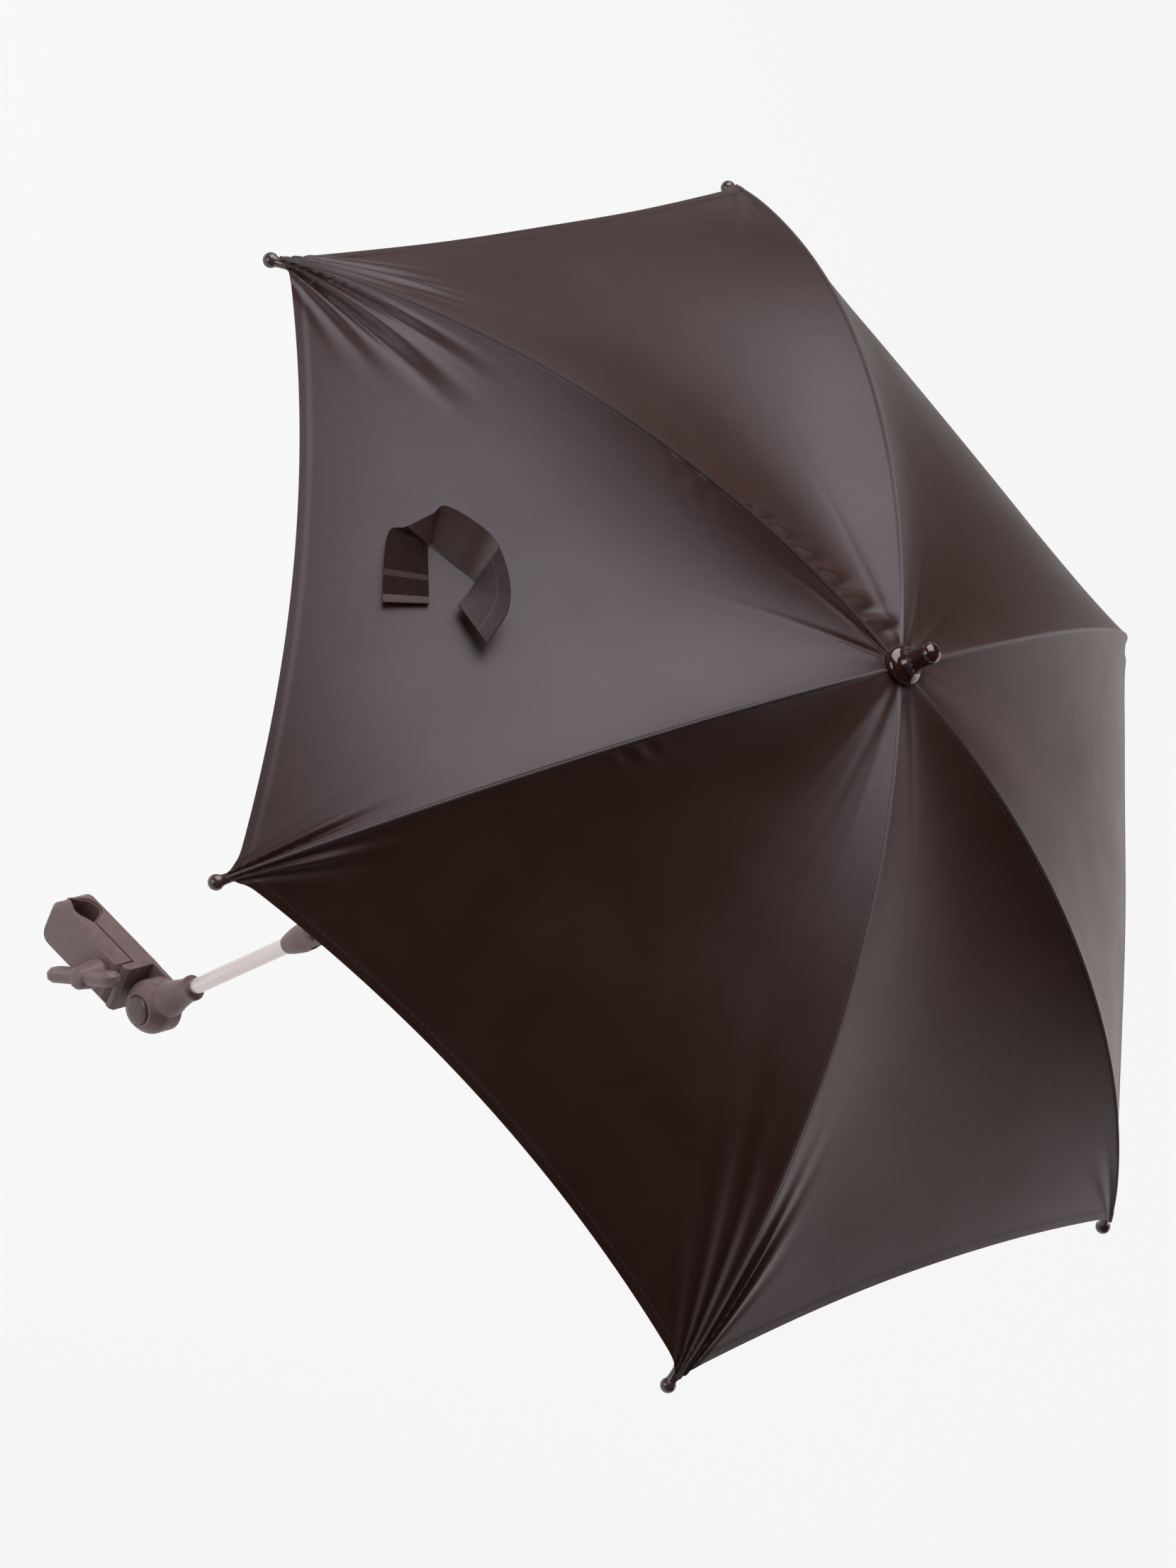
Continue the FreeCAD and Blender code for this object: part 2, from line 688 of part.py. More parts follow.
def tilt_pin():
    """Pin through the fork and the tongue, short of the button's recess."""
    start = TILT_BUTTON_RECESS - KNUCKLE_RADIUS + TONGUE_CLEARANCE
    return rod(TILT_PIN_RADIUS, V(0, start, 0), V(0, KNUCKLE_RADIUS - TILT_PIN_SHY, 0))


def domed_button(radius, skirt, dome, base):
    """Push button along -Y: a plain skirt under a shallow dome."""
    edge = (radius, skirt + dome * 0.3)
    top = skirt + dome
    profile = [(0, 0), (radius, 0), edge] + curve(edge, (radius * 0.9, top), (0, top), 4)
    return facet_lathe(profile, BUTTON_SIDES, V(0, base, 0), -Y_AXIS)


def coil_spring(inner, outer, base, height):
    """Cone-shaped coil spring along -Y, whose coils nest when it is pressed flat: a faceted wire on a helix."""
    wide = outer - SPRING_WIRE
    narrow = inner + SPRING_WIRE
    turns = (wide - narrow) / SPRING_NEST
    steps = round(turns * SPRING_STEPS)
    rise = height - 2 * SPRING_WIRE
    corners = [2 * math.pi * (j + 0.5) / SPRING_SIDES for j in range(SPRING_SIDES)]
    rings = []
    for i in range(steps + 1):
        share = i / steps
        turn = 2 * math.pi * turns * share
        out = V(math.cos(turn), 0, math.sin(turn))
        middle = out * (wide + (narrow - wide) * share) + V(0, base - SPRING_WIRE - rise * share, 0)
        rings.append([middle + (out * math.cos(c) + Y_AXIS * math.sin(c)) * SPRING_WIRE for c in corners])
    faces = [rings[0], rings[-1]]
    for near, far in zip(rings, rings[1:]):
        for j in range(SPRING_SIDES):
            k = (j + 1) % SPRING_SIDES
            faces.append([near[j], near[k], far[k]])
            faces.append([near[j], far[k], far[j]])
    return polyhedron(faces)


def tilt_button():
    """Release button in the fork's front ear."""
    floor = TILT_BUTTON_RECESS - KNUCKLE_RADIUS
    seat = TILT_BUTTON_TRAVEL + SPRING_PRESSED + CATCH_GAP
    skirt = TILT_BUTTON_RECESS - seat
    return domed_button(TILT_BUTTON_RADIUS, skirt, TILT_BUTTON_PROUD, floor - seat)


def tilt_spring():
    """Spring under the tilt button."""
    floor = TILT_BUTTON_RECESS - KNUCKLE_RADIUS
    height = TILT_BUTTON_TRAVEL + SPRING_PRESSED
    return coil_spring(TILT_BUTTON_RADIUS * 0.5, TILT_BUTTON_RADIUS * 0.9, floor, height)


# Shaft tubes and the runner's catch
upper_tube_low = tilt_height + tube_end
catch_top = runner_bottom - CATCH_GAP
catch_root = catch_top - CATCH_HEIGHT
slot_low = catch_root + CATCH_FOOT
tube_bore = TUBE_RADIUS - TUBE_WALL


def upper_tube():
    """Thin tube from the tilt joint to the cap, slotted for the catch."""
    tube = ring(tube_bore, TUBE_RADIUS, upper_tube_low, tube_top)
    half = CATCH_WIDTH / 2 + SLOT_CLEARANCE
    slot = block(V(0, -half, slot_low), V(TUBE_RADIUS + 1, half, catch_top + CATCH_GAP))
    return tube.cut(slot)


def runner_catch():
    """Leaf with a wedge that stands out under the runner and is pressed in with a thumb."""
    half = CATCH_WIDTH / 2
    back = math.sqrt(tube_bore**2 - half**2) - CATCH_GAP - CATCH_THICKNESS
    front = back + CATCH_THICKNESS
    nose = TUBE_RADIUS + CATCH_REACH
    wedge_low = catch_top - CATCH_WEDGE
    return prism(
        outline(
            (back, -half, catch_root),
            (front, -half, catch_root),
            (front, -half, wedge_low),
            (nose, -half, catch_top - CATCH_REACH),
            (nose, -half, catch_top),
            (back, -half, catch_top),
        ),
        V(0, CATCH_WIDTH, 0),
    )


lower_tube_low = SOCKET_FLOOR - SWIVEL_TO_TIPS
lower_tube_top = tilt_height - tube_end


def lower_tube():
    """Thin tube from the swivel's socket to the tilt joint."""
    return ring(tube_bore, TUBE_RADIUS, lower_tube_low, lower_tube_top)


# Swivel, about its axle along Y
disc_back = DISC_BACK
disc_rim = disc_back - DISC_RIM
disc_front = disc_rim - DISC_DOME
ear_front = disc_back + EAR_GAP
ear_back = ear_front + EAR_THICKNESS
recess_floor = disc_front + BUTTON_RECESS


def swivel_head():
    """Domed disc with a tapered socket for the tube and a recess for the push button."""
    edge = (DISC_FRONT_RADIUS, disc_front)
    rim = (DISC_RADIUS, disc_rim)
    swell = (DISC_RADIUS, disc_rim - DISC_DOME * 0.4)
    profile = [(0, disc_front), edge] + curve(edge, swell, rim, 4)
    profile += [(DISC_RADIUS, disc_back), (0, disc_back)]
    disc = facet_lathe(profile, DISC_SIDES, ORIGIN, Y_AXIS)
    root = DISC_RADIUS * 0.55
    neck = SOCKET_REACH - SOCKET_RIM
    start = (SOCKET_ROOT_RADIUS, DISC_RADIUS)
    mouth = (SOCKET_MOUTH_RADIUS, neck - 1)
    waist = (SOCKET_MOUTH_RADIUS + 0.8, (DISC_RADIUS + neck) / 2)
    profile = [(0, root), (SOCKET_ROOT_RADIUS, root), start] + curve(start, waist, mouth, 4)
    profile += [(SOCKET_RIM_RADIUS, neck), (SOCKET_RIM_RADIUS, SOCKET_REACH), (0, SOCKET_REACH)]
    socket = facet_lathe(profile, KNUCKLE_SIDES)
    wide = DISC_RADIUS * 2
    socket = socket.common(block(V(-wide, -wide, 0), V(wide, disc_back, SOCKET_REACH * 2)))
    bore = rod(TUBE_RADIUS, V(0, 0, SOCKET_FLOOR), V(0, 0, SOCKET_REACH + 1))
    floor = V(0, recess_floor, 0)
    recess = peg_hole(BUTTON_RADIUS + BUTTON_CLEARANCE, V(0, disc_front - 1, 0), floor, BUTTON_SIDES)
    axle_hole = rod(AXLE_RADIUS + PIN_CLEARANCE, V(0, disc_front, 0), V(0, disc_back + 1, 0))
    return fuse(disc, socket).cut([bore, recess, axle_hole])


def swivel_axle():
    """Shouldered rivet that holds the disc against the clamp's ear."""
    floor = recess_floor - PIN_CLEARANCE
    head_seat = ear_back - AXLE_HEAD
    flange = peg(AXLE_FLANGE_RADIUS, V(0, floor - AXLE_FLANGE, 0), V(0, floor, 0), BUTTON_SIDES)
    head = peg(AXLE_HEAD_RADIUS, V(0, head_seat, 0), V(0, ear_back, 0), BUTTON_SIDES)
    return fuse(rod(AXLE_RADIUS, V(0, floor - AXLE_FLANGE / 2, 0), V(0, head_seat + AXLE_HEAD / 2, 0)), flange, head)


flange_top = recess_floor - PIN_CLEARANCE - AXLE_FLANGE
button_base = flange_top - BUTTON_TRAVEL - SPRING_PRESSED - CATCH_GAP


def swivel_button():
    """Large domed button that unlocks the swivel."""
    skirt = button_base - disc_front
    return domed_button(BUTTON_RADIUS, skirt, BUTTON_DOME, button_base)


def swivel_spring():
    """Spring between the axle's flange and the button."""
    return coil_spring(AXLE_RADIUS, AXLE_FLANGE_RADIUS, flange_top, BUTTON_TRAVEL + SPRING_PRESSED)


# Clamp, in its own axes
half_bar = BAR_WIDTH / 2
jaw_back = SEAT_FACE - JAW_GAP
jaw_front = jaw_back - JAW_THICKNESS
jaw_inner_end = WEB_START - JAW_INNER_GAP
axle_y = -SEAT_BEHIND_SHAFT
clamp_axle = V(SEAT_TO_SWIVEL, axle_y, 0)


def seat_space(radius, half_angle, mouth, face, thickness, side, length):
    """Space of a tube seat: an arc at the bottom and two flanks that open to the face."""
    angle = math.radians(half_angle)
    arc = radius + thickness
    spread = arc * math.sin(angle)
    depth = side * arc * math.cos(angle)
    rise = abs(side * radius * math.cos(angle) - face)
    flank = math.atan2(rise, mouth - radius * math.sin(angle))
    wide = mouth + min(thickness / math.sin(flank), 1.5 * thickness)
    low = -length / 2
    beyond = face - side
    return prism(
        outline(
            (-wide, face, low),
            (-spread, depth, low),
            ((0, side * arc, low), (spread, depth, low)),
            (wide, face, low),
            (wide, beyond, low),
            (-wide, beyond, low),
        ),
        V(0, 0, length),
    )


def bar_plan(outer, corner):
    """Outline of the bar seen from the front, from its outer end to the round ear."""
    tangent = math.sqrt(0.5) * corner
    x_ear = SEAT_TO_SWIVEL
    x_shoulder = x_ear - EAR_SHOULDER
    turn = math.atan2(half_bar, -EAR_SHOULDER) - math.acos(EAR_RADIUS / math.hypot(EAR_SHOULDER, half_bar))
    x_touch = x_ear + EAR_RADIUS * math.cos(turn)
    z_touch = EAR_RADIUS * math.sin(turn)
    return outline(
        (outer + corner, 0, -half_bar),
        (x_shoulder, 0, -half_bar),
        (x_touch, 0, -z_touch),
        ((x_ear + EAR_RADIUS, 0, 0), (x_touch, 0, z_touch)),
        (x_shoulder, 0, half_bar),
        (outer + corner, 0, half_bar),
        ((outer + corner - tangent, 0, half_bar - corner + tangent), (outer, 0, half_bar - corner)),
        (outer, 0, corner - half_bar),
        ((outer + corner - tangent, 0, corner - half_bar - tangent), (outer + corner, 0, -half_bar)),
    )


def clamp_frame():
    """Fixed jaw, web and ear in one moulding."""
    y_front = axle_y + ear_front
    y_back = axle_y + ear_back
    web_end = WEB_START + WEB_THICKNESS
    side = outline(
        (BAR_OUTER_END, SEAT_FACE, -half_bar),
        (WEB_START, SEAT_FACE, -half_bar),
        (WEB_START, WEB_FRONT, -half_bar),
        (web_end - EDGE_ROUND, WEB_FRONT, -half_bar),
        (web_end, WEB_FRONT + EDGE_ROUND, -half_bar),
        (web_end, y_front, -half_bar),
        (SEAT_TO_SWIVEL + EAR_RADIUS, y_front, -half_bar),
        (SEAT_TO_SWIVEL + EAR_RADIUS, y_back, -half_bar),
        (BAR_INNER_END + BAR_INNER_SLOPE, y_back, -half_bar),
        (BAR_INNER_END, BAR_BACK, -half_bar),
        (BAR_OUTER_END + EDGE_ROUND * 2, BAR_BACK, -half_bar),
        (BAR_OUTER_END, BAR_BACK - EDGE_ROUND * 2, -half_bar),
    )
    deep = max(EAR_RADIUS, half_bar)
    body = prism(side, V(0, 0, 2 * deep))
    body.translate(V(0, 0, half_bar - deep))
    plan = prism(bar_plan(BAR_OUTER_END, BAR_CORNER), V(0, max(BAR_BACK, y_back) - WEB_FRONT + 2, 0))
    plan.translate(V(0, WEB_FRONT - 1, 0))
    body = body.common(plan)
    body = body.makeChamfer(EDGE_ROUND, [e for e in body.Edges if along_bar(e, BAR_BACK)])
    seat = seat_space(SEAT_RADIUS, SEAT_HALF_ANGLE, SEAT_MOUTH, SEAT_FACE, PAD, 1, BAR_WIDTH + 2)
    front = Y_AXIS * WEB_FRONT
    screw_axis = V(SCREW_AT, 0, 0)
    guide_axis = V(GUIDE_AT, 0, 0)
    screw_hole = rod(SCREW_RADIUS + SCREW_CLEARANCE, screw_axis + front, screw_axis + Y_AXIS * BAR_BACK * 2)
    nut_hole = hexagon(NUT_FLATS + 2 * NUT_CLEARANCE, SEAT_FACE - 1, SEAT_FACE + NUT_THICKNESS)
    guide_end = guide_axis + Y_AXIS * (SEAT_FACE + GUIDE_IN_BAR + CATCH_GAP)
    guide_hole = rod(GUIDE_RADIUS + SLIDE_CLEARANCE, guide_axis + front, guide_end)
    ear_end = clamp_axle + Y_AXIS * (ear_back + 1)
    axle_hole = rod(AXLE_RADIUS, clamp_axle, ear_end)
    head_hole = peg_hole(AXLE_HEAD_RADIUS, clamp_axle + Y_AXIS * (ear_back - AXLE_HEAD), ear_end, BUTTON_SIDES)
    return body.cut([seat, screw_hole, nut_hole, guide_hole, axle_hole, head_hole])


def along_bar(edge, y):
    """True for a straight edge along the bar at a given depth."""
    box = edge.BoundBox
    level = abs(box.YMin - y) < 1e-3 and abs(box.YMax - y) < 1e-3
    return level and box.XLength > BAR_WIDTH and abs(abs(box.ZMax) - half_bar) < 1e-3


def hexagon(flats, low, high):
    """Six-sided block along the screw's axis."""
    corner = flats / math.sqrt(3)
    points = [
        (SCREW_AT + corner * math.cos(math.radians(a)), low, corner * math.sin(math.radians(a)))
        for a in range(0, 360, 60)
    ]
    return prism(outline(*points), V(0, high - low, 0))


def clamp_nut():
    """Hexagon nut let into the fixed jaw's face."""
    nut = hexagon(NUT_FLATS, SEAT_FACE + NUT_CLEARANCE, SEAT_FACE + NUT_THICKNESS)
    axis = V(SCREW_AT, 0, 0)
    reach = Y_AXIS * BAR_WIDTH
    return nut.cut(rod(SCREW_RADIUS + PIN_CLEARANCE, axis - reach, axis + reach))


def seat_pad(radius, half_angle, mouth, face, side):
    """Rubber lining of a tube seat."""
    outer = seat_space(radius, half_angle, mouth, face, PAD, side, PAD_LENGTH)
    inner = seat_space(radius, half_angle, mouth, face, 0, side, PAD_LENGTH + 2)
    wide = mouth * 2
    open_side = sorted((face, face - side * 2))
    front = block(V(-wide, open_side[0], -BAR_WIDTH), V(wide, open_side[1], BAR_WIDTH))
    return outer.cut([inner, front])


def fixed_jaw_pad():
    """Lining of the fixed jaw."""
    return seat_pad(SEAT_RADIUS, SEAT_HALF_ANGLE, SEAT_MOUTH, SEAT_FACE, 1)


def moving_jaw_pad():
    """Lining of the moving jaw."""
    return seat_pad(JAW_SEAT_RADIUS, JAW_SEAT_HALF_ANGLE, JAW_SEAT_MOUTH, jaw_back, -1)


def moving_jaw():
    """Thick front plate with round outer corners and a bevelled front edge."""
    length = jaw_inner_end - JAW_OUTER_END
    plate_solid = Part.makeBox(length, JAW_THICKNESS, BAR_WIDTH, V(JAW_OUTER_END, jaw_front, -half_bar))
    plate_solid = rounded(plate_solid, JAW_CORNER, lambda e: e.BoundBox.YLength > 1 and e.BoundBox.XMax < 0)
    edges = [e for e in plate_solid.Edges if e.BoundBox.YMax < jaw_front + 1e-3]
    plate_solid = plate_solid.makeChamfer(JAW_EDGE, edges)
    seat = seat_space(JAW_SEAT_RADIUS, JAW_SEAT_HALF_ANGLE, JAW_SEAT_MOUTH, jaw_back, PAD, -1, BAR_WIDTH + 2)
    screw_axis = V(SCREW_AT, 0, 0)
    guide_axis = V(GUIDE_AT, 0, 0)
    screw_hole = rod(SCREW_RADIUS + SCREW_CLEARANCE, screw_axis - Y_AXIS * BAR_WIDTH, screw_axis)
    guide_hole = rod(GUIDE_RADIUS, guide_axis + Y_AXIS * (jaw_back - GUIDE_IN_JAW), guide_axis)
    return plate_solid.cut([seat, screw_hole, guide_hole])


def jaw_guide_pin():
    """Steel pin that keeps the moving jaw square to the bar."""
    axis = V(GUIDE_AT, 0, 0)
    start = axis + Y_AXIS * (jaw_back - GUIDE_IN_JAW)
    return rod(GUIDE_RADIUS, start, axis + Y_AXIS * (SEAT_FACE + GUIDE_IN_BAR))


knob_base = jaw_front - KNOB_GAP


def clamp_screw():
    """Screw from the knob through the moving jaw into the nut."""
    axis = V(SCREW_AT, 0, 0)
    tip = axis + Y_AXIS * (BAR_BACK - SCREW_TIP_INSET)
    return rod(SCREW_RADIUS, axis + Y_AXIS * (knob_base - SCREW_IN_KNOB), tip)


def wing_knob():
    """Two-winged knob: a tapered hub with two rounded paddles."""
    shoulder = (HUB_TOP_RADIUS, HUB_HEIGHT - 2.5)
    profile = [(0, 0), (HUB_BASE_RADIUS, 0), (HUB_BASE_RADIUS, 2), shoulder]
    profile += curve(shoulder, (HUB_TOP_RADIUS * 0.9, HUB_HEIGHT), (0, HUB_HEIGHT), 3)
    hub = facet_lathe(profile, HUB_SIDES)
    low = WING_LIFT
    high = low + WING_HEIGHT
    middle = (low + high) / 2
    bend = WING_REACH - WING_HEIGHT / 2
    half = WING_THICKNESS / 2
    round_turns = [math.pi * (i / WING_TIP_BANDS - 0.5) for i in range(WING_TIP_BANDS + 1)]
    tip = [
        (bend + math.cos(a) * WING_HEIGHT / 2, -half, middle + math.sin(a) * WING_HEIGHT / 2)
        for a in round_turns
    ]
    root = WING_ROOT_HEIGHT / 2
    paddle = prism(outline((0, -half, middle - root), *tip, (0, -half, middle + root)), V(0, 2 * half, 0))
    faces = [edge for edge in paddle.Edges if edge.BoundBox.YLength < 1e-3 and leaves_hub(edge)]
    paddle = paddle.makeChamfer(half * 0.55, faces)
    wings = [paddle, turned(paddle, 180, Z_AXIS)]
    screw_hole = rod(SCREW_RADIUS, V(0, 0, -1), V(0, 0, SCREW_IN_KNOB))
    knob = turned(fuse(hub, *wings).cut(screw_hole), WING_TURN, Z_AXIS)
    place = FreeCAD.Placement(V(SCREW_AT, knob_base, 0), FreeCAD.Rotation(X_AXIS, 90))
    knob.Placement = place.multiply(knob.Placement)
    return knob


def leaves_hub(edge):
    """True for an edge of a wing that leaves the hub's axis."""
    return edge.BoundBox.XMax > HUB_BASE_RADIUS


# Canopy: one gore to each rib, from the middle of one panel to the middle of the next
half_panel = math.radians(180.0 / RIB_COUNT)
hem_radius = TIP_RADIUS - HEM_INSET


def cloth_rows(radius, side):
    """Points across half a gore at one place along the rib, on top and underneath."""
    inside = radius <= BEND_START
    share = 0 if inside else (radius - BEND_START) / (hem_radius - BEND_START)
    slope = 0 if inside else math.asin((radius - BEND_START) / bend_radius)
    height = CANOPY_RISE if inside else bend_centre.z + bend_radius * math.cos(slope)
    lean = math.radians(PANEL_SAG_LEAN)
    sag = PANEL_SAG * math.sin(math.pi * share)
    pull = HEM_PULL_IN * share**3 + sag * math.sin(lean)
    lift = HEM_LIFT * share**3 - sag * math.cos(lean)
    outward = V(math.cos(half_panel), side * math.sin(half_panel), 0)
    across = V(-math.sin(half_panel), side * math.cos(half_panel), 0)
    crest = V(radius, 0, height)
    middle = outward * (radius * math.cos(half_panel)) + Z_AXIS * height - across * GORE_GAP
    top = []
    for i in range(GORE_POINTS + 1):
        run = i / GORE_POINTS
        fall = 1 - (1 - run) ** 2
        top.append(crest * (1 - run) + middle * run - outward * (pull * fall) + Z_AXIS * (lift * fall))
    drop = V(math.sin(slope), 0, math.cos(slope)) * -CLOTH
    return top, [p + drop for p in top]


def canopy_gore():
    """Cloth over one rib, from the crown to the hem and from one panel's middle to the next."""
    step = (hem_radius - BEND_START) / GORE_STATIONS
    radii = [CROWN_HOLE] + [BEND_START + step * i for i in range(GORE_STATIONS + 1)]
    rows = []
    for radius in radii:
        right = cloth_rows(radius, 1)
        left = cloth_rows(radius, -1)
        rows.append([l[:0:-1] + r for l, r in zip(left, right)])
    faces = []
    for (top, low), (next_top, next_low) in zip(rows, rows[1:]):
        for i in range(len(top) - 1):
            faces.append([top[i], next_top[i], next_top[i + 1]])
            faces.append([top[i], next_top[i + 1], top[i + 1]])
            faces.append([low[i], next_low[i + 1], next_low[i]])
            faces.append([low[i], low[i + 1], next_low[i + 1]])
        for i in (0, -1):
            faces.append([top[i], low[i], next_low[i]])
            faces.append([top[i], next_low[i], next_top[i]])
    for top, low in (rows[0], rows[-1]):
        for i in range(len(top) - 1):
            faces.append([top[i], top[i + 1], low[i + 1]])
            faces.append([top[i], low[i + 1], low[i]])
    return polyhedron(faces)


def panel_middle(radius):
    """Point on top of the cloth in the middle of the panel after the first rib, seen from that rib."""
    row = cloth_rows(radius, 1)[0]
    return row[-1]


def tie_strap():
    """Short strap of hook-and-loop tape: one end lies on the cloth, the middle stands on its edge."""
    step = 1.0
    strap_radius = hem_radius - STRAP_INSET
    start = panel_middle(strap_radius)
    up = (panel_middle(strap_radius - step) - panel_middle(strap_radius + step)).normalize()
    side = V(math.sin(half_panel), -math.cos(half_panel), 0)
    off = side.cross(up).normalize()
    if off.z < 0:
        off = -off
    base = start + off * STRAP_LIFT - side * STRAP_ASIDE

    def place(point):
        return base + up * point[0] + side * point[1] + off * point[2]

    rows = [(place(a), place(b)) for a, b in STRAP_STATIONS]
    front = []
    back = []
    for i, (a, b) in enumerate(rows):
        before = rows[max(i - 1, 0)]
        after = rows[min(i + 1, len(rows) - 1)]
        along = after[0] + after[1] - before[0] - before[1]
        face = along.cross(b - a).normalize() * (STRAP_THICKNESS / 2)
        front.append((a + face, b + face))
        back.append((a - face, b - face))
    faces = []
    for i in range(len(rows) - 1):
        for sheet in (front, back):
            faces.append([sheet[i][0], sheet[i + 1][0], sheet[i + 1][1]])
            faces.append([sheet[i][0], sheet[i + 1][1], sheet[i][1]])
        for edge in (0, 1):
            faces.append([front[i][edge], back[i][edge], back[i + 1][edge]])
            faces.append([front[i][edge], back[i + 1][edge], front[i + 1][edge]])
    for i in (0, -1):
        faces.append([front[i][0], front[i][1], back[i][1]])
        faces.append([front[i][0], back[i][1], back[i][0]])
    return polyhedron(faces)


def export(name, shape):
    """Write one piece, which has to be closed solids."""
    solids = shape.Solids
    if not solids or not all(s.isValid() for s in solids):
        raise ValueError(name + " is not a valid solid")
    whole = solids[0] if len(solids) == 1 else Part.makeCompound(solids)
    whole.exportStep("parts/" + name + ".step")
    print(name, len(solids), round(sum(s.Volume for s in solids), 2))


for name, make in {
    "clamp_frame": clamp_frame,
    "clamp_nut": clamp_nut,
    "fixed_jaw_pad": fixed_jaw_pad,
    "moving_jaw": moving_jaw,
    "moving_jaw_pad": moving_jaw_pad,
    "jaw_guide_pin": jaw_guide_pin,
    "clamp_screw": clamp_screw,
    "wing_knob": wing_knob,
}.items():
    export(name, in_clamp(make()))

for name, make in {
    "swivel_head": swivel_head,
    "swivel_axle": swivel_axle,
    "swivel_button": swivel_button,
    "swivel_spring": swivel_spring,
}.items():
    export(name, at_swivel(make()))

for name, make in {
    "tilt_fork": tilt_lower,
    "tilt_tongue": tilt_upper,
    "tilt_pin": tilt_pin,
    "tilt_button": tilt_button,
    "tilt_spring": tilt_spring,
}.items():
    export(name, at_tips(moved(make(), Z_AXIS * tilt_height)))

export("lower_tube", at_tips(lower_tube()))
export("upper_tube", at_tips(upper_tube()))
export("runner_catch", at_tips(runner_catch()))
export("crown", at_tips(crown()))
export("crown_ring", at_tips(linkage_ring(crown_pivot)))
export("runner", at_tips(runner()))
export("runner_ring", at_tips(linkage_ring(runner_pivot)))
export("finial_cap", at_tips(finial_cap()))

rib_pieces = {
    "rib": rib(),
    "rib_tip": rib_tip(),
    "rib_rivet": rib_rivet(),
    "stretcher": stretcher(),
    "canopy_gore": canopy_gore(),
}
for number in range(1, RIB_COUNT + 1):
    for name, shape in rib_pieces.items():
        export(name + "_" + str(number), at_rib(shape, number))

export("tie_strap", at_rib(tie_strap(), 1))

print("crown pivot", crown_pivot, "stretcher pivot", stretcher_pivot, "runner pivot", runner_pivot)
print("swivel centre", swivel_centre, "tip plane", tip_plane, "arm", arm)
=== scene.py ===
# %% Load the frame
import json
import math
import bmesh
import bpy
import numpy as np
from mathutils import Matrix, Vector

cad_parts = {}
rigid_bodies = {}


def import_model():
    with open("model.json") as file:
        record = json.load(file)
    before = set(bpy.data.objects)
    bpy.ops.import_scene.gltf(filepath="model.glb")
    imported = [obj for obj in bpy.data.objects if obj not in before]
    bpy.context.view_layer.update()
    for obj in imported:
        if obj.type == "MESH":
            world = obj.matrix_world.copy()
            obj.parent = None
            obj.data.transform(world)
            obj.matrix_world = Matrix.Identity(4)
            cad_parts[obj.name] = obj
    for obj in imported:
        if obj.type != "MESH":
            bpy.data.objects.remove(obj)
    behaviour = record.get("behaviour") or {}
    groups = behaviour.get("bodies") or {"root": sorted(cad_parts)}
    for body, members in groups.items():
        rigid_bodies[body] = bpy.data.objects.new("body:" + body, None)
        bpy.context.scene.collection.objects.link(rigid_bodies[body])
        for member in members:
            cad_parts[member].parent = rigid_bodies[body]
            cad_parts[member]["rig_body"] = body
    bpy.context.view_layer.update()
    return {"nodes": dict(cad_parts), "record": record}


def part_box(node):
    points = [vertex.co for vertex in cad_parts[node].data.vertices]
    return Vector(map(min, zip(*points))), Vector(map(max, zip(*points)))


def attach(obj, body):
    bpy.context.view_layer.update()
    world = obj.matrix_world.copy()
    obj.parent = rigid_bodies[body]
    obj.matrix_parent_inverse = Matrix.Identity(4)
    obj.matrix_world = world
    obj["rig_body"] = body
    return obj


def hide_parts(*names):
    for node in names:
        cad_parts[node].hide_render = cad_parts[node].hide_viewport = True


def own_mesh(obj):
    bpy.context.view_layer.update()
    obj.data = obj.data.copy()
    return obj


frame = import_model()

MM = 0.001

# %% [markdown]
# # Where the canopy stands
# The CAD model already holds the tubes, the ribs and the clamp at their real sizes, so nothing is
# typed twice that can be measured. The shaft's line comes from the box round the upper tube, the
# height of the rib tips from the finial's foot, and the direction of each rib from the place of its
# ball tip.

# %% Measure the shaft and the ribs
RIB_COUNT = 6
TIP_RADIUS = 340 * MM
HEM_RADIUS = 335 * MM
CANOPY_RISE = 145 * MM
BEND_START = 17 * MM
CROWN_HOLE = 7 * MM
CAP_GAP = 0.3 * MM

tube_low, tube_high = (np.array(c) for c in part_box("upper_tube"))
cap_low, cap_high = (np.array(c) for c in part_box("finial_cap"))
shaft = (tube_low + tube_high) / 2
tips_level = np.array([shaft[0], shaft[1], cap_low[2] - CAP_GAP - CANOPY_RISE])

bend_radius = ((TIP_RADIUS - BEND_START) ** 2 + CANOPY_RISE**2) / (2 * CANOPY_RISE)
bend_low = CANOPY_RISE - bend_radius
half_panel = math.pi / RIB_COUNT


def rib_azimuth(number):
    """Angle of a rib round the shaft: the direction from the shaft to the middle of its ball tip."""
    low, high = (np.array(c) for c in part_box(f"rib_tip_{number}"))
    x, y = ((low + high) / 2 - shaft)[:2]
    return math.atan2(y, x)


# The ball's facets leave a small error in the angle, so it is rounded to whole degrees.
first_azimuth = math.radians(round(math.degrees(rib_azimuth(1))))
azimuths = {k: first_azimuth - (k - 1) * 2 * half_panel for k in range(1, RIB_COUNT + 1)}
print("rib azimuths:", {k: round(math.degrees(a), 1) for k, a in azimuths.items()})

# %% [markdown]
# # Surfaces from arrays
# Every new piece is a grid: an array of points with rows along the piece and columns across it. One
# helper turns any such grid into a mesh. Grids that go all the way round are wrapped, and rows that
# shrink to a point are welded, so that tubes and domes come out closed.


# %% Mesh helpers
WELD_REACH = 1e-6
TURNED_SIDES = 72


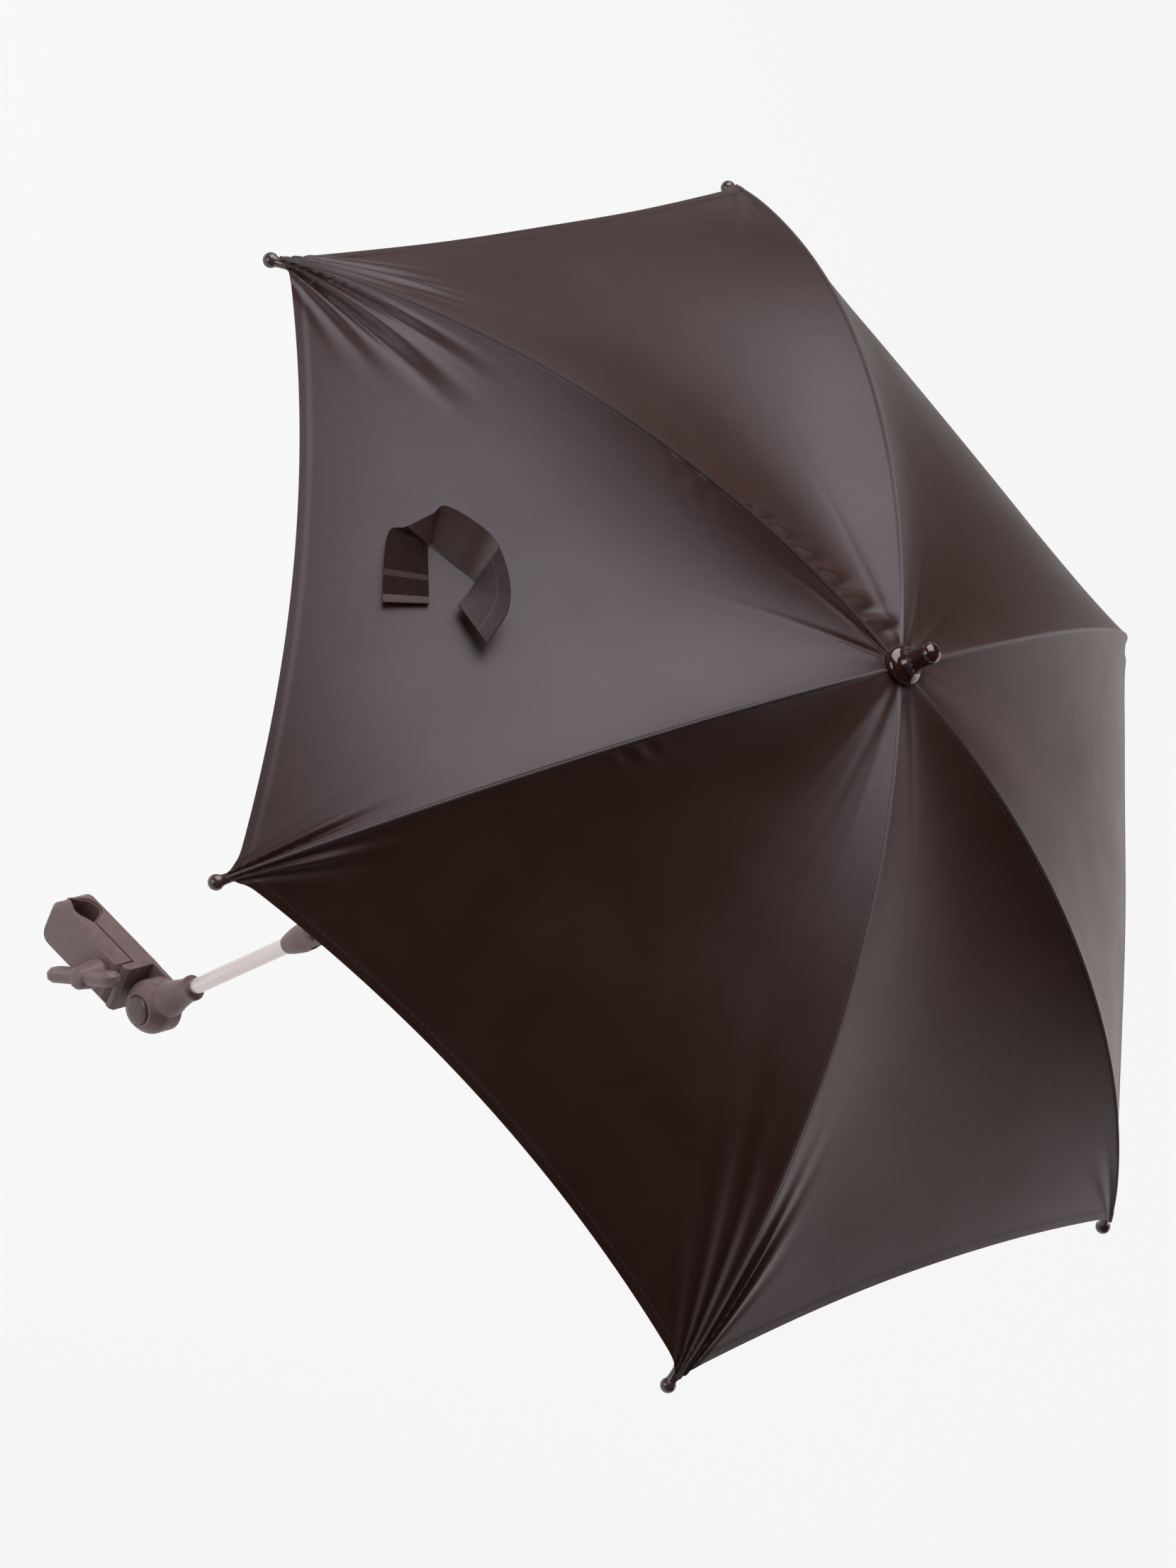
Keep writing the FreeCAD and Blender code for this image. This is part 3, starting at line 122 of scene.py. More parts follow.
def grid_faces(rows, columns, wrap):
    """Corner numbers of the quads of a grid: each cell joins its row and column to the next ones."""
    index = np.arange(rows * columns).reshape(rows, columns)
    after = np.roll(index, -1, axis=1)
    last = columns if wrap else columns - 1
    here, there = index[:, :last], after[:, :last]
    return np.stack([here[:-1], there[:-1], there[1:], here[1:]], axis=-1).reshape(-1, 4)


def surface(name, points, wrap=False, weld=False, uv_maps=None):
    """Mesh object of a grid of points (rows, columns, 3), with UV maps by name as grids of pairs."""
    rows, columns = points.shape[:2]
    faces = grid_faces(rows, columns, wrap)
    mesh = bpy.data.meshes.new(name)
    mesh.from_pydata(points.reshape(-1, 3), [], faces)
    for title, values in (uv_maps or {}).items():
        layer = mesh.uv_layers.new(name=title)
        corners = values.reshape(-1, 2)[faces.ravel()]
        layer.data.foreach_set("uv", corners.astype(np.float32).ravel())
    if weld:
        work = bmesh.new()
        work.from_mesh(mesh)
        bmesh.ops.remove_doubles(work, verts=work.verts, dist=WELD_REACH)
        bmesh.ops.recalc_face_normals(work, faces=work.faces)
        work.to_mesh(mesh)
        work.free()
    mesh.polygons.foreach_set("use_smooth", np.ones(len(mesh.polygons), bool))
    mesh.update()
    piece = bpy.data.objects.new(name, mesh)
    bpy.context.scene.collection.objects.link(piece)
    return piece


def cross_axes(axis):
    """Two directions square to an axis and to each other."""
    axis = np.array(axis, float) / np.linalg.norm(axis)
    helper = np.array([0.0, 0.0, 1.0]) if abs(axis[2]) < 0.9 else np.array([1.0, 0.0, 0.0])
    first = np.cross(helper, axis)
    first /= np.linalg.norm(first)
    return axis, first, np.cross(axis, first)


def turned(name, profile, base, axis, sides=TURNED_SIDES):
    """Solid of revolution: each (radius, height) of the profile is carried round the axis."""
    axis, first, second = cross_axes(axis)
    profile = np.array(profile, float)
    angle = np.linspace(0, 2 * np.pi, sides, endpoint=False)
    ring = np.cos(angle)[:, None] * first + np.sin(angle)[:, None] * second
    points = np.array(base) + profile[:, 1, None, None] * axis + profile[:, 0, None, None] * ring[None]
    return surface(name, points, wrap=True, weld=True)


def bow(start, bend, end, count=16):
    """Curve from start to end drawn towards bend: a parabola by weights (1-t)^2, 2t(1-t) and t^2."""
    t = np.linspace(0, 1, count)[:, None]
    return (1 - t) ** 2 * np.array(start) + 2 * t * (1 - t) * np.array(bend) + t**2 * np.array(end)


def edge_round(before, corner, after, size, count=6):
    """Rounded corner of a profile: a bow that starts and ends a given distance from the corner."""
    before, corner, after = (np.array(p, float) for p in (before, corner, after))
    start = corner + (before - corner) / np.linalg.norm(before - corner) * size
    end = corner + (after - corner) / np.linalg.norm(after - corner) * size
    return bow(start, corner, end, count)


# %% [markdown]
# # Shared finishes
# Several materials need the same small effects, so each effect is a node group: a grain that mottles
# plastic, metal and cloth, a weave for cloth and tape, and a row of stitches. The groups only hand
# out values. The shader itself stays in each material, with its plain numbers set on its own sockets.


# %% Node group helpers
def new_group(name, inputs, outputs):
    """Empty shader node group with float or vector inputs (name, default) and float outputs."""
    group = bpy.data.node_groups.new(name, "ShaderNodeTree")
    for title, default in inputs:
        kind = "NodeSocketVector" if default is None else "NodeSocketFloat"
        socket = group.interface.new_socket(title, in_out="INPUT", socket_type=kind)
        if default is not None:
            socket.default_value = default
    for title in outputs:
        group.interface.new_socket(title, in_out="OUTPUT", socket_type="NodeSocketFloat")
    return group, group.nodes.new("NodeGroupInput"), group.nodes.new("NodeGroupOutput")


def math_node(tree, operation, first, second=None):
    """Math node whose two values are links or numbers, and its result."""
    node = tree.nodes.new("ShaderNodeMath")
    node.operation = operation
    for socket, value in zip(node.inputs, (first, second)):
        if value is None:
            continue
        if isinstance(value, (int, float)):
            socket.default_value = value
        else:
            tree.links.new(value, socket)
    return node.outputs[0]


def noise_node(tree, vector, scale, detail=3.0):
    """Noise texture on a vector, with its scale as a link or a number."""
    node = tree.nodes.new("ShaderNodeTexNoise")
    node.inputs["Detail"].default_value = detail
    tree.links.new(vector, node.inputs["Vector"])
    if isinstance(scale, (int, float)):
        node.inputs["Scale"].default_value = scale
    else:
        tree.links.new(scale, node.inputs["Scale"])
    return node.outputs["Fac"]


# %% Grain: two sizes of noise
FINE_TIMES_COARSE = 9.0

grain_inputs = [("Vector", None), ("Scale", 60.0)]
grain_group, grain_in, grain_out = new_group("grain", grain_inputs, ["Shade", "Height"])
coarse = noise_node(grain_group, grain_in.outputs["Vector"], grain_in.outputs["Scale"])
fine_scale = math_node(grain_group, "MULTIPLY", grain_in.outputs["Scale"], FINE_TIMES_COARSE)
fine = noise_node(grain_group, grain_in.outputs["Vector"], fine_scale, 2.0)
grain_group.links.new(coarse, grain_out.inputs["Shade"])
grain_group.links.new(fine, grain_out.inputs["Height"])
print("group:", grain_group.name)

# %% Weave: sines across and along the threads
weave_inputs = [("Vector", None), ("Threads", 1800.0)]
weave_group, weave_in, weave_out = new_group("weave", weave_inputs, ["Height"])
split = weave_group.nodes.new("ShaderNodeSeparateXYZ")
weave_group.links.new(weave_in.outputs["Vector"], split.inputs[0])
turns = math_node(weave_group, "MULTIPLY", weave_in.outputs["Threads"], 2 * math.pi)
warp = math_node(weave_group, "SINE", math_node(weave_group, "MULTIPLY", split.outputs["X"], turns))
weft = math_node(weave_group, "SINE", math_node(weave_group, "MULTIPLY", split.outputs["Y"], turns))
weave_group.links.new(math_node(weave_group, "MULTIPLY", warp, weft), weave_out.inputs["Height"])
print("group:", weave_group.name)

# %% Stitches: dashes along a line at a set distance from an edge
THREAD_HALF_WIDTH = 0.35 * MM
THREAD_SHARE = 0.72

stitch_inputs = [("Distance", 0.0), ("Along", 0.0), ("Line", 0.005), ("Pitch", 0.0032)]
stitch_group, stitch_in, stitch_out = new_group("stitches", stitch_inputs, ["Mask"])
off_line = math_node(stitch_group, "SUBTRACT", stitch_in.outputs["Distance"], stitch_in.outputs["Line"])
off_line = math_node(stitch_group, "ABSOLUTE", off_line)
on_line = math_node(stitch_group, "LESS_THAN", off_line, THREAD_HALF_WIDTH)
stitch = math_node(stitch_group, "DIVIDE", stitch_in.outputs["Along"], stitch_in.outputs["Pitch"])
dash = math_node(stitch_group, "LESS_THAN", math_node(stitch_group, "FRACT", stitch), THREAD_SHARE)
stitch_group.links.new(math_node(stitch_group, "MULTIPLY", on_line, dash), stitch_out.inputs["Mask"])
print("group:", stitch_group.name)


# %% Material helpers
# Most of the noise lies between these two values.
NOISE_LOW = 0.3
NOISE_HIGH = 0.7


def new_material(name):
    """Material with its shader, ready for links."""
    material = bpy.data.materials.new(name)
    material.use_nodes = True
    return material, material.node_tree, material.node_tree.nodes["Principled BSDF"]


def place_group(tree, group, vector=None, **values):
    """A node group in a material, with its vector linked and its own values."""
    node = tree.nodes.new("ShaderNodeGroup")
    node.node_tree = group
    if vector is not None:
        tree.links.new(vector, node.inputs["Vector"])
    for title, value in values.items():
        if isinstance(value, (int, float)):
            node.inputs[title].default_value = value
        else:
            tree.links.new(value, node.inputs[title])
    return node


def mix_colour(tree, share, dark, light):
    """Colour between two colours by a share; either may be a link."""
    node = tree.nodes.new("ShaderNodeMix")
    node.data_type = "RGBA"
    tree.links.new(share, node.inputs["Factor"])
    for socket, value in ((node.inputs[6], dark), (node.inputs[7], light)):
        if isinstance(value, tuple):
            socket.default_value = (*value, 1.0)
        else:
            tree.links.new(value, socket)
    return node.outputs[2]


def spread(tree, value, low, high, start=NOISE_LOW, end=NOISE_HIGH):
    """A value spread from low to high: its usual range is carried to theirs in a straight line."""
    node = tree.nodes.new("ShaderNodeMapRange")
    tree.links.new(value, node.inputs["Value"])
    node.inputs["From Min"].default_value = start
    node.inputs["From Max"].default_value = end
    node.inputs["To Min"].default_value = low
    node.inputs["To Max"].default_value = high
    return node.outputs["Result"]


def measures(tree, title):
    """A UV map by its name, and its values apart."""
    node = tree.nodes.new("ShaderNodeUVMap")
    node.uv_map = title
    apart = tree.nodes.new("ShaderNodeSeparateXYZ")
    tree.links.new(node.outputs["UV"], apart.inputs[0])
    return node.outputs["UV"], apart.outputs


def add_bump(tree, shader, height, depth):
    """Bump of a height in metres on a shader's normal."""
    node = tree.nodes.new("ShaderNodeBump")
    node.inputs["Strength"].default_value = 1.0
    node.inputs["Distance"].default_value = depth
    tree.links.new(height, node.inputs["Height"])
    tree.links.new(node.outputs["Normal"], shader.inputs["Normal"])


def grained(name, dark, light, rough, scale, depth, metallic=0.0, coat=0.0):
    """Moulded or metal finish: two tones mottled by the grain, a spread of roughness and a fine bump."""
    material, tree, shader = new_material(name)
    place = tree.nodes.new("ShaderNodeTexCoord").outputs["Object"]
    grain = place_group(tree, grain_group, place, Scale=scale)
    shade = spread(tree, grain.outputs["Shade"], 0.0, 1.0)
    tree.links.new(mix_colour(tree, shade, dark, light), shader.inputs["Base Color"])
    tree.links.new(spread(tree, grain.outputs["Shade"], *rough), shader.inputs["Roughness"])
    shader.inputs["Metallic"].default_value = metallic
    shader.inputs["Coat Weight"].default_value = coat
    add_bump(tree, shader, grain.outputs["Height"], depth)
    return material


# %% [markdown]
# # Plastics and metals
# The clamp and the swivel are moulded in dark plastic with a fine spark-eroded grain. The finial and
# the ball tips are polished. The shaft is a drawn aluminium tube, brushed along its length, and the
# ribs are plated steel.

# %% Make the hard finishes
# Slot: name, dark and light tone, least and most roughness, grain to the metre, bump in metres.
PLASTICS = {
    "black_plastic": (
        "moulded_plastic", (0.160, 0.102, 0.103), (0.195, 0.127, 0.128), (0.38, 0.5), 220.0, 0.00004,
    ),
    "pad_rubber": (
        "jaw_rubber", (0.110, 0.055, 0.052), (0.140, 0.072, 0.068), (0.7, 0.85), 400.0, 0.00006,
    ),
    "button_plastic": (
        "button_plastic", (0.085, 0.050, 0.050), (0.105, 0.064, 0.064), (0.24, 0.34), 160.0, 0.00002,
    ),
    "finial_plastic": (
        "polished_finial", (0.022, 0.006, 0.005), (0.030, 0.009, 0.007), (0.12, 0.18), 90.0, 0.000006,
    ),
    "tip_plastic": (
        "polished_tip", (0.050, 0.026, 0.025), (0.066, 0.036, 0.035), (0.14, 0.22), 140.0, 0.000006,
    ),
}
# Clear top layer of the glossier plastics.
COATS = {"button_plastic": 0.15, "finial_plastic": 0.6, "tip_plastic": 0.4}
STEELS = {
    "rib_steel": ("plated_rib", (0.30, 0.30, 0.31), (0.42, 0.42, 0.43), (0.3, 0.42), 180.0, 0.000008),
    "fastener_steel": (
        "plated_fastener", (0.40, 0.40, 0.41), (0.52, 0.52, 0.53), (0.24, 0.36), 300.0, 0.000008,
    ),
}
TUBE_DARK = (0.68, 0.605, 0.59)
TUBE_LIGHT = (0.77, 0.70, 0.69)
TUBE_ROUGH = (0.25, 0.31)
STREAK_STRETCH = 0.02
STREAKS = 900.0

hard_finishes = {slot: grained(*look, coat=COATS.get(slot, 0.0)) for slot, look in PLASTICS.items()}
hard_finishes.update({slot: grained(*look, metallic=1.0) for slot, look in STEELS.items()})


def brushed_tube():
    """Drawn aluminium: noise stretched along the shaft, so that the streaks run with the tube."""
    material, tree, shader = new_material("drawn_aluminium")
    stretch = tree.nodes.new("ShaderNodeMapping")
    stretch.inputs["Scale"].default_value = (1.0, 1.0, STREAK_STRETCH)
    tree.links.new(tree.nodes.new("ShaderNodeTexCoord").outputs["Object"], stretch.inputs["Vector"])
    grain = place_group(tree, grain_group, stretch.outputs["Vector"], Scale=STREAKS)
    shade = spread(tree, grain.outputs["Shade"], 0.0, 1.0)
    tree.links.new(mix_colour(tree, shade, TUBE_DARK, TUBE_LIGHT), shader.inputs["Base Color"])
    tree.links.new(spread(tree, grain.outputs["Shade"], *TUBE_ROUGH), shader.inputs["Roughness"])
    shader.inputs["Metallic"].default_value = 1.0
    return material


hard_finishes["bright_tube"] = brushed_tube()
print("hard finishes:", len(hard_finishes))

# %% [markdown]
# # Cloth finish
# The canopy is a thin satin-finished polyester in a brown that is close to black. Its own colour
# hardly shows: what the eye sees is the soft, wide reflection of the lamps on the threads. So the
# base is very dark and the gloss is wide and slightly blue. A narrow paler band is painted along the
# crest of each rib seam as a painted highlight, and stitches lie on both sides of it and along the hem.

# %% Make the cloth finish
CLOTH_DARK = (0.0255, 0.0074, 0.0032)
CLOTH_LIGHT = (0.0295, 0.0095, 0.0044)
CLOTH_ROUGH = (0.41, 0.46)
CLOTH_GLOSS = (0.84, 0.85, 1.0, 1.0)
# Painted highlight: a paler band along the crest of each rib seam, where the raised seam catches the
# light.
SEAM_HIGHLIGHT = (0.058, 0.040, 0.040)
SEAM_HIGHLIGHT_HALF = 1.1 * MM
THREAD_COLOUR = (0.03, 0.024, 0.024)
HEM_STITCHES = 5.5 * MM
SEAM_STITCHES = 2.4 * MM
STITCH_PITCH = 3.4 * MM
CLOTH_MOTTLE = 26.0
CLOTH_THREADS = 1500.0
CLOTH_BUMP = 0.00007
# Shares of the bump: the grain counts as one.
WEAVE_SHARE = 0.06
STITCH_SHARE = 1.6


def satin_cloth():
    """Dark satin: mottled base, painted seam highlight, stitches, a wide gloss and a weave in the bump.
    """
    material, tree, shader = new_material("satin_cloth")
    place = tree.nodes.new("ShaderNodeTexCoord").outputs["Object"]
    threads, flat = measures(tree, "cloth")
    away = measures(tree, "edges")[1]
    grain = place_group(tree, grain_group, place, Scale=CLOTH_MOTTLE)
    weave = place_group(tree, weave_group, threads, Threads=CLOTH_THREADS)
    hem = place_group(tree, stitch_group, Line=HEM_STITCHES, Distance=away["Y"], Along=flat["X"])
    seam = place_group(tree, stitch_group, Line=SEAM_STITCHES, Distance=away["X"], Along=flat["Y"])
    for row in (hem, seam):
        row.inputs["Pitch"].default_value = STITCH_PITCH
    stitches = math_node(tree, "MAXIMUM", hem.outputs["Mask"], seam.outputs["Mask"])
    base = mix_colour(tree, spread(tree, grain.outputs["Shade"], 0.0, 1.0), CLOTH_DARK, CLOTH_LIGHT)
    # Painted highlight along the seam's crest.
    seam_highlight = math_node(tree, "LESS_THAN", away["X"], SEAM_HIGHLIGHT_HALF)
    base = mix_colour(tree, seam_highlight, base, SEAM_HIGHLIGHT)
    tree.links.new(mix_colour(tree, stitches, base, THREAD_COLOUR), shader.inputs["Base Color"])
    tree.links.new(spread(tree, grain.outputs["Shade"], *CLOTH_ROUGH), shader.inputs["Roughness"])
    shader.inputs["Specular Tint"].default_value = CLOTH_GLOSS
    shader.inputs["Sheen Weight"].default_value = 0.01
    shader.inputs["Sheen Roughness"].default_value = 0.45
    shader.inputs["Sheen Tint"].default_value = (0.85, 0.80, 0.86, 1.0)
    woven = math_node(tree, "MULTIPLY", weave.outputs["Height"], WEAVE_SHARE)
    raised = math_node(tree, "MULTIPLY", stitches, STITCH_SHARE)
    height = math_node(tree, "ADD", woven, math_node(tree, "ADD", grain.outputs["Height"], raised))
    add_bump(tree, shader, height, CLOTH_BUMP)
    return material


cloth_finish = satin_cloth()
print("cloth finish:", cloth_finish.name)

# %% [markdown]
# # The canopy's shape
# A canopy like this is cut as six panels that are sewn together along the ribs. The ribs hold it up
# in arcs, and between two ribs the pull of the hem draws each panel flat and a little hollow. Here
# the cloth over one rib, from the middle of one panel to the middle of the next, is one sheet, so
# that it can follow its rib when the parasol folds. Rows run from the crown to the hem and columns
# across the rib. The rows are closer at the hem and the columns closer at the rib, because the hem
# fold and the seam are narrow.

# %% Base surface of one gore
ROWS = 150
COLUMNS = 90
ROW_BIAS = 1.25
COLUMN_BIAS = 1.5
HEM_PULL_IN = 9 * MM
HEM_LIFT = 14 * MM
PANEL_SAG = 17 * MM
PANEL_SAG_LEAN = math.radians(25)


def rib_slope(radius):
    """Slope of the cloth on the rib: level to the bend's start, then the angle of the rib's arc."""
    return np.arcsin(np.clip(radius - BEND_START, 0, None) / bend_radius)


def rib_run(radius):
    """Length along the rib from the crown: straight to the bend's start, then along the arc."""
    return np.minimum(radius, BEND_START) + bend_radius * rib_slope(radius)


def panel_surface(radius, across, half):
    """Cloth between the rib's crest and the panel's middle in one rib's own axes.

    A straight line from the crest to the middle line at the same radius, drawn in towards the shaft
    and moved up or down by amounts that grow from the rib as 1-(1-w)^2: the hem's pull and lift by
    the cube of the share of the way to the hem, and the sag by a half sine.
    """
    share = np.clip((radius - BEND_START) / (HEM_RADIUS - BEND_START), 0, None)
    height = bend_low + bend_radius * np.cos(rib_slope(radius))
    sag = PANEL_SAG * np.sin(np.pi * np.clip(share, 0, 1))
    pull = HEM_PULL_IN * share**3 + sag * math.sin(PANEL_SAG_LEAN)
    lift = HEM_LIFT * share**3 - sag * math.cos(PANEL_SAG_LEAN)
    fall = 1 - (1 - across) ** 2
    side = np.sign(half)
    ahead = np.cos(half_panel) * radius * np.cos(half_panel)
    aside = np.cos(half_panel) * radius * np.sin(half_panel)
    x = radius * (1 - across) + ahead * across - math.cos(half_panel) * pull * fall
    y = side * (aside * across - math.sin(half_panel) * pull * fall)
    return np.stack([x, y, height + lift * fall], axis=-1)


def to_row_frame(points, azimuth):
    """From a rib's own axes, with X along the rib, to the parasol's place."""
    c, s = math.cos(azimuth), math.sin(azimuth)
    turn = np.array([[c, -s, 0], [s, c, 0], [0, 0, 1]])
    return points @ turn.T + tips_level


t = np.linspace(0, 1, ROWS)
row_radius = CROWN_HOLE + (HEM_RADIUS - CROWN_HOLE) * (1 - (1 - t) ** ROW_BIAS)
last_step = (row_radius[-1] - row_radius[-2]) / MM
print("rows:", ROWS, "columns:", 2 * COLUMNS + 1, "last row step mm:", round(last_step, 2))

# %% [markdown]
# # Folds
# Cloth that is pulled to a few points can't lie smooth: it gathers in straight folds that fan out
# from each rib tip, puckers where a seam was sewn tight, and creases lightly round the crown. The
# folds are worked out in each panel's own measures: the distance along the rib from the tip and the
# distance across from the rib. A fold is a ridge or a valley along one direction from a tip, that
# grows from the tip and dies away along its length.

# %% Folds of the six panels
# Panels are named by their place in the photograph. Each has the number of the rib at its lower
# azimuth, and the rib at its higher azimuth is the one before.
PANELS = {1: "strap", 2: "upper", 3: "far", 4: "slim", 5: "lower", 6: "front"}
# Folds start a little beyond the hem, where the corner is tied to the tip. They are highest at a
# share of their reach, and their tails are brought to nothing just beyond it.
FOLD_ORIGIN = 12 * MM
FOLD_PEAK = 0.45
TAIL_END = 1.15
TAIL_LENGTH = 0.6
TAIL_CURVE = 1.5
# Folds from a tip: direction from the rib in degrees, width in degrees, height in mm and reach in mm.
TIP_FOLDS = {
    ("strap", "low"): [
        (6.6, 1.5, 1.4, 120), (10.4, 1.6, -1.5, 118), (17.5, 2.8, 2.0, 120), (24.5, 3.0, -2.4, 115),
        (33, 4.0, 0.9, 85), (40, 4.0, -0.9, 80), (51, 5.0, 0.6, 72),
    ],
    ("strap", "high"): [(6.0, 1.6, -1.8, 90), (10, 2.6, 1.1, 95), (19, 4.0, -0.6, 80)],
    ("upper", "high"): [
        (6, 2.2, -0.8, 95), (12, 3.0, 0.8, 100), (18, 3.0, -0.9, 105), (25, 3.4, 1.3, 110),
        (34, 4.0, -1.2, 100), (45, 5.0, 0.7, 85),
    ],
    ("upper", "low"): [(7, 3.2, -1.1, 85), (16, 4.0, 1.0, 85), (28, 5.0, -0.8, 75)],
    ("far", "high"): [(8, 4.0, -0.9, 75), (20, 5.0, 0.6, 65)],
    ("far", "low"): [(9, 4.0, -0.7, 70), (20, 5.0, 0.5, 65)],
    ("slim", "high"): [(8, 4.0, -0.8, 70), (19, 5.0, 0.6, 65)],
    ("slim", "low"): [(8, 4.0, -0.7, 70), (18, 5.0, 0.5, 65)],
    ("lower", "high"): [(9, 4.0, -0.8, 75), (20, 5.0, 0.6, 70)],
    ("lower", "low"): [
        (4, 1.8, -1.2, 135), (8, 2.0, 1.5, 145), (13, 2.2, -1.4, 135), (19, 3.0, 1.0, 110),
        (28, 4.5, -0.6, 90),
    ],
    ("front", "low"): [(5, 2.4, -1.3, 95), (10, 2.6, 1.3, 90), (17, 3.4, -0.9, 80), (28, 5.0, 0.6, 65)],
    ("front", "high"): [
        (5, 2.0, 1.0, 150), (9.5, 2.2, -1.3, 180), (14.5, 2.4, 1.3, 195), (20.5, 2.8, -1.2, 180),
        (28, 3.6, 0.9, 145), (38, 5.0, -0.6, 110),
    ],
}
# Creases from the crown: place across the panel from -1 to 1, width, height and reach in mm.
CROWN_FOLDS = {
    "strap": [(-0.17, 1.7, -0.9, 48), (-0.74, 1.6, -0.9, 36), (0.35, 3.0, 0.4, 60)],
    "upper": [(-0.3, 3.0, 0.4, 70)],
    "far": [(-0.25, 2.6, 0.8, 50), (0.3, 2.6, -0.6, 50)],
    "slim": [(0.1, 3.0, 0.4, 60)],
    "lower": [(-0.3, 3.0, 0.4, 70)],
    "front": [(0.05, 2.8, -0.3, 60), (0.36, 2.8, 0.35, 70), (0.62, 2.6, -0.3, 70)],
}
# Puckers beside a seam: which rib, then in mm from and to which radius, distance from the seam,
# length, spacing and height.
PUCKERS = {
    "upper": [("high", 16, 124, 11, 11.0, 16.6, 2.5)],
    "front": [("low", 150, 186, 6, 6.5, 12.0, 0.9)],
    "strap": [("low", 120, 165, 4, 5.0, 14.0, 0.35)],
}
CREASE_START = 8 * MM
CREASE_PEAK = 0.4
PUCKER_FADE = 12 * MM
PUCKER_CLEAR = 3 * MM
PUCKER_SLANT = 0.06
# The puckers aren't quite evenly spaced: their phase sways by this angle over this length.
PUCKER_SWAY = 0.9
PUCKER_SWAY_LENGTH = 17 * MM
# The folds end this far from a rib, where the seam holds the cloth.
SEAM_HOLD = 5 * MM
# Ripples and a longer swell: height, and the lengths that set how close they lie.
RIPPLE = 0.16 * MM
RIPPLE_ACROSS = 21 * MM
RIPPLE_ALONG = 27 * MM
RIPPLE_BEND = 34 * MM
RIPPLE_SWAY = 0.6
SWELL = 0.3 * MM
SWELL_ACROSS = 48 * MM
SWELL_ALONG = 71 * MM
PANEL_SHIFT = 1.7


def tip_fold(along, aside, degrees, width, height, reach):
    """Fold from a tip: a bell across its direction, times (d/p) exp(1-d/p) along it, highest at d = p.

    The tail is brought to nothing between about half the reach and a little beyond it.
    """
    along = along + FOLD_ORIGIN
    distance = np.hypot(along, aside)
    tail = np.clip((TAIL_END - distance / (reach * MM)) / TAIL_LENGTH, 0, 1) ** TAIL_CURVE
    off = np.degrees(np.arctan2(aside, along)) - degrees
    decay = distance / (reach * FOLD_PEAK * MM)
    return height * MM * np.exp(-((off / width) ** 2)) * decay * np.exp(1 - decay) * tail


def crown_fold(radius, place, at, width, height, reach):
    """Crease from the crown: a bell of even width, times (d/p) exp(1-d/p) along it, as for a tip."""
    decay = np.clip(radius - CREASE_START, 0, None) / (reach * CREASE_PEAK * MM)
    off = (place - at) * radius / 2
    return height * MM * np.exp(-((off / (width * MM)) ** 2)) * decay * np.exp(1 - decay)


def pucker(radius, aside, start, end, centre, length, spacing, height):
    """Row of puckers: a wave along the seam, in a bell across it and faded at both ends."""
    rise = np.clip((radius - start * MM) / PUCKER_FADE, 0, 1)
    fall = np.clip((end * MM - radius) / PUCKER_FADE, 0, 1)
    slant = radius + PUCKER_SLANT * aside
    sway = PUCKER_SWAY * np.sin(slant / PUCKER_SWAY_LENGTH)
    wave = np.cos(2 * np.pi * slant / (spacing * MM) + sway)
    bell = np.exp(-(((aside - centre * MM) / (length * MM)) ** 2)) * np.clip(aside / PUCKER_CLEAR, 0, 1)
    return height * MM * wave * (rise * fall) * bell


def waviness(panel, radius, place):
    """Unevenness of the cloth: a few sines of the place in the panel, each panel with its own start."""
    start = PANEL_SHIFT * list(CROWN_FOLDS).index(panel)
    x, y = radius * place / 2, radius
    bent = x / RIPPLE_ACROSS + RIPPLE_SWAY * np.sin(y / RIPPLE_BEND)
    ripple = np.sin(bent + start) * np.sin(y / RIPPLE_ALONG + start)
    swell = np.sin(x / SWELL_ACROSS + y / SWELL_ALONG + 2 * start)
    return RIPPLE * ripple + SWELL * swell


def panel_folds(panel, radius, place):
    """Height of a panel's folds at a radius and a place across it, -1 at one rib and 1 at the other.

    The sum of the folds, times a smooth step 3h^2-2h^3 that brings it to nothing at the ribs.
    """
    along = rib_run(np.array(HEM_RADIUS)) - rib_run(radius) + 0 * place
    total = np.zeros(np.broadcast(radius, place).shape)
    ends = {"low": (1 + place) * radius / 2, "high": (1 - place) * radius / 2}
    for end, aside in ends.items():
        for fold in TIP_FOLDS.get((panel, end), []):
            total = total + tip_fold(along, aside, *fold)
    for fold in CROWN_FOLDS[panel]:
        total = total + crown_fold(radius, place, *fold)
    for end, *sizes in PUCKERS.get(panel, []):
        total = total + pucker(radius, ends[end], *sizes)
    total = total + waviness(panel, radius, place)
    hold = np.clip((1 - np.abs(place)) * radius / SEAM_HOLD, 0, 1)
    return total * hold * hold * (3 - 2 * hold)


print("tip folds:", sum(len(v) for v in TIP_FOLDS.values()))
print("crown folds:", sum(len(v) for v in CROWN_FOLDS.values()))

# %% [markdown]
# # Sewing the gores
# Each gore takes its base surface, adds its panels' folds along a direction that both neighbours
# share, and gets the ridge of the seam over the rib and the double hem. At the tip the corner is
# drawn out along the rib, as the pocket that holds the tip. Solidify gives the cloth its thickness on
# the inside, so the outside stays where it was worked out, and the rim is split off so that it
# doesn't bend the shading of the edge.

# %% Make the gores
SEAM_RIDGE = 0.6 * MM
SEAM_WIDTH = 1.1 * MM
HEM_BAND = 7 * MM
HEM_STEP = 0.35 * MM
CLOTH = 0.6 * MM
RIM_ANGLE = math.radians(55)
# The folds rise along a direction that leans out less than the cloth on the rib does.
FOLD_LEAN = 0.85
SEAM_RISE = 8 * MM
HEM_SLOPE = 0.8 * MM
CORNER_REACH = 4.5 * MM
CORNER_DIP = 1.0 * MM
CORNER_WIDTH = 6 * MM
CORNER_LENGTH = 25 * MM


def panel_of(rib, half):
    """Name of the panel on one side of a rib."""
    return PANELS[rib] if half > 0 else PANELS[rib % RIB_COUNT + 1]


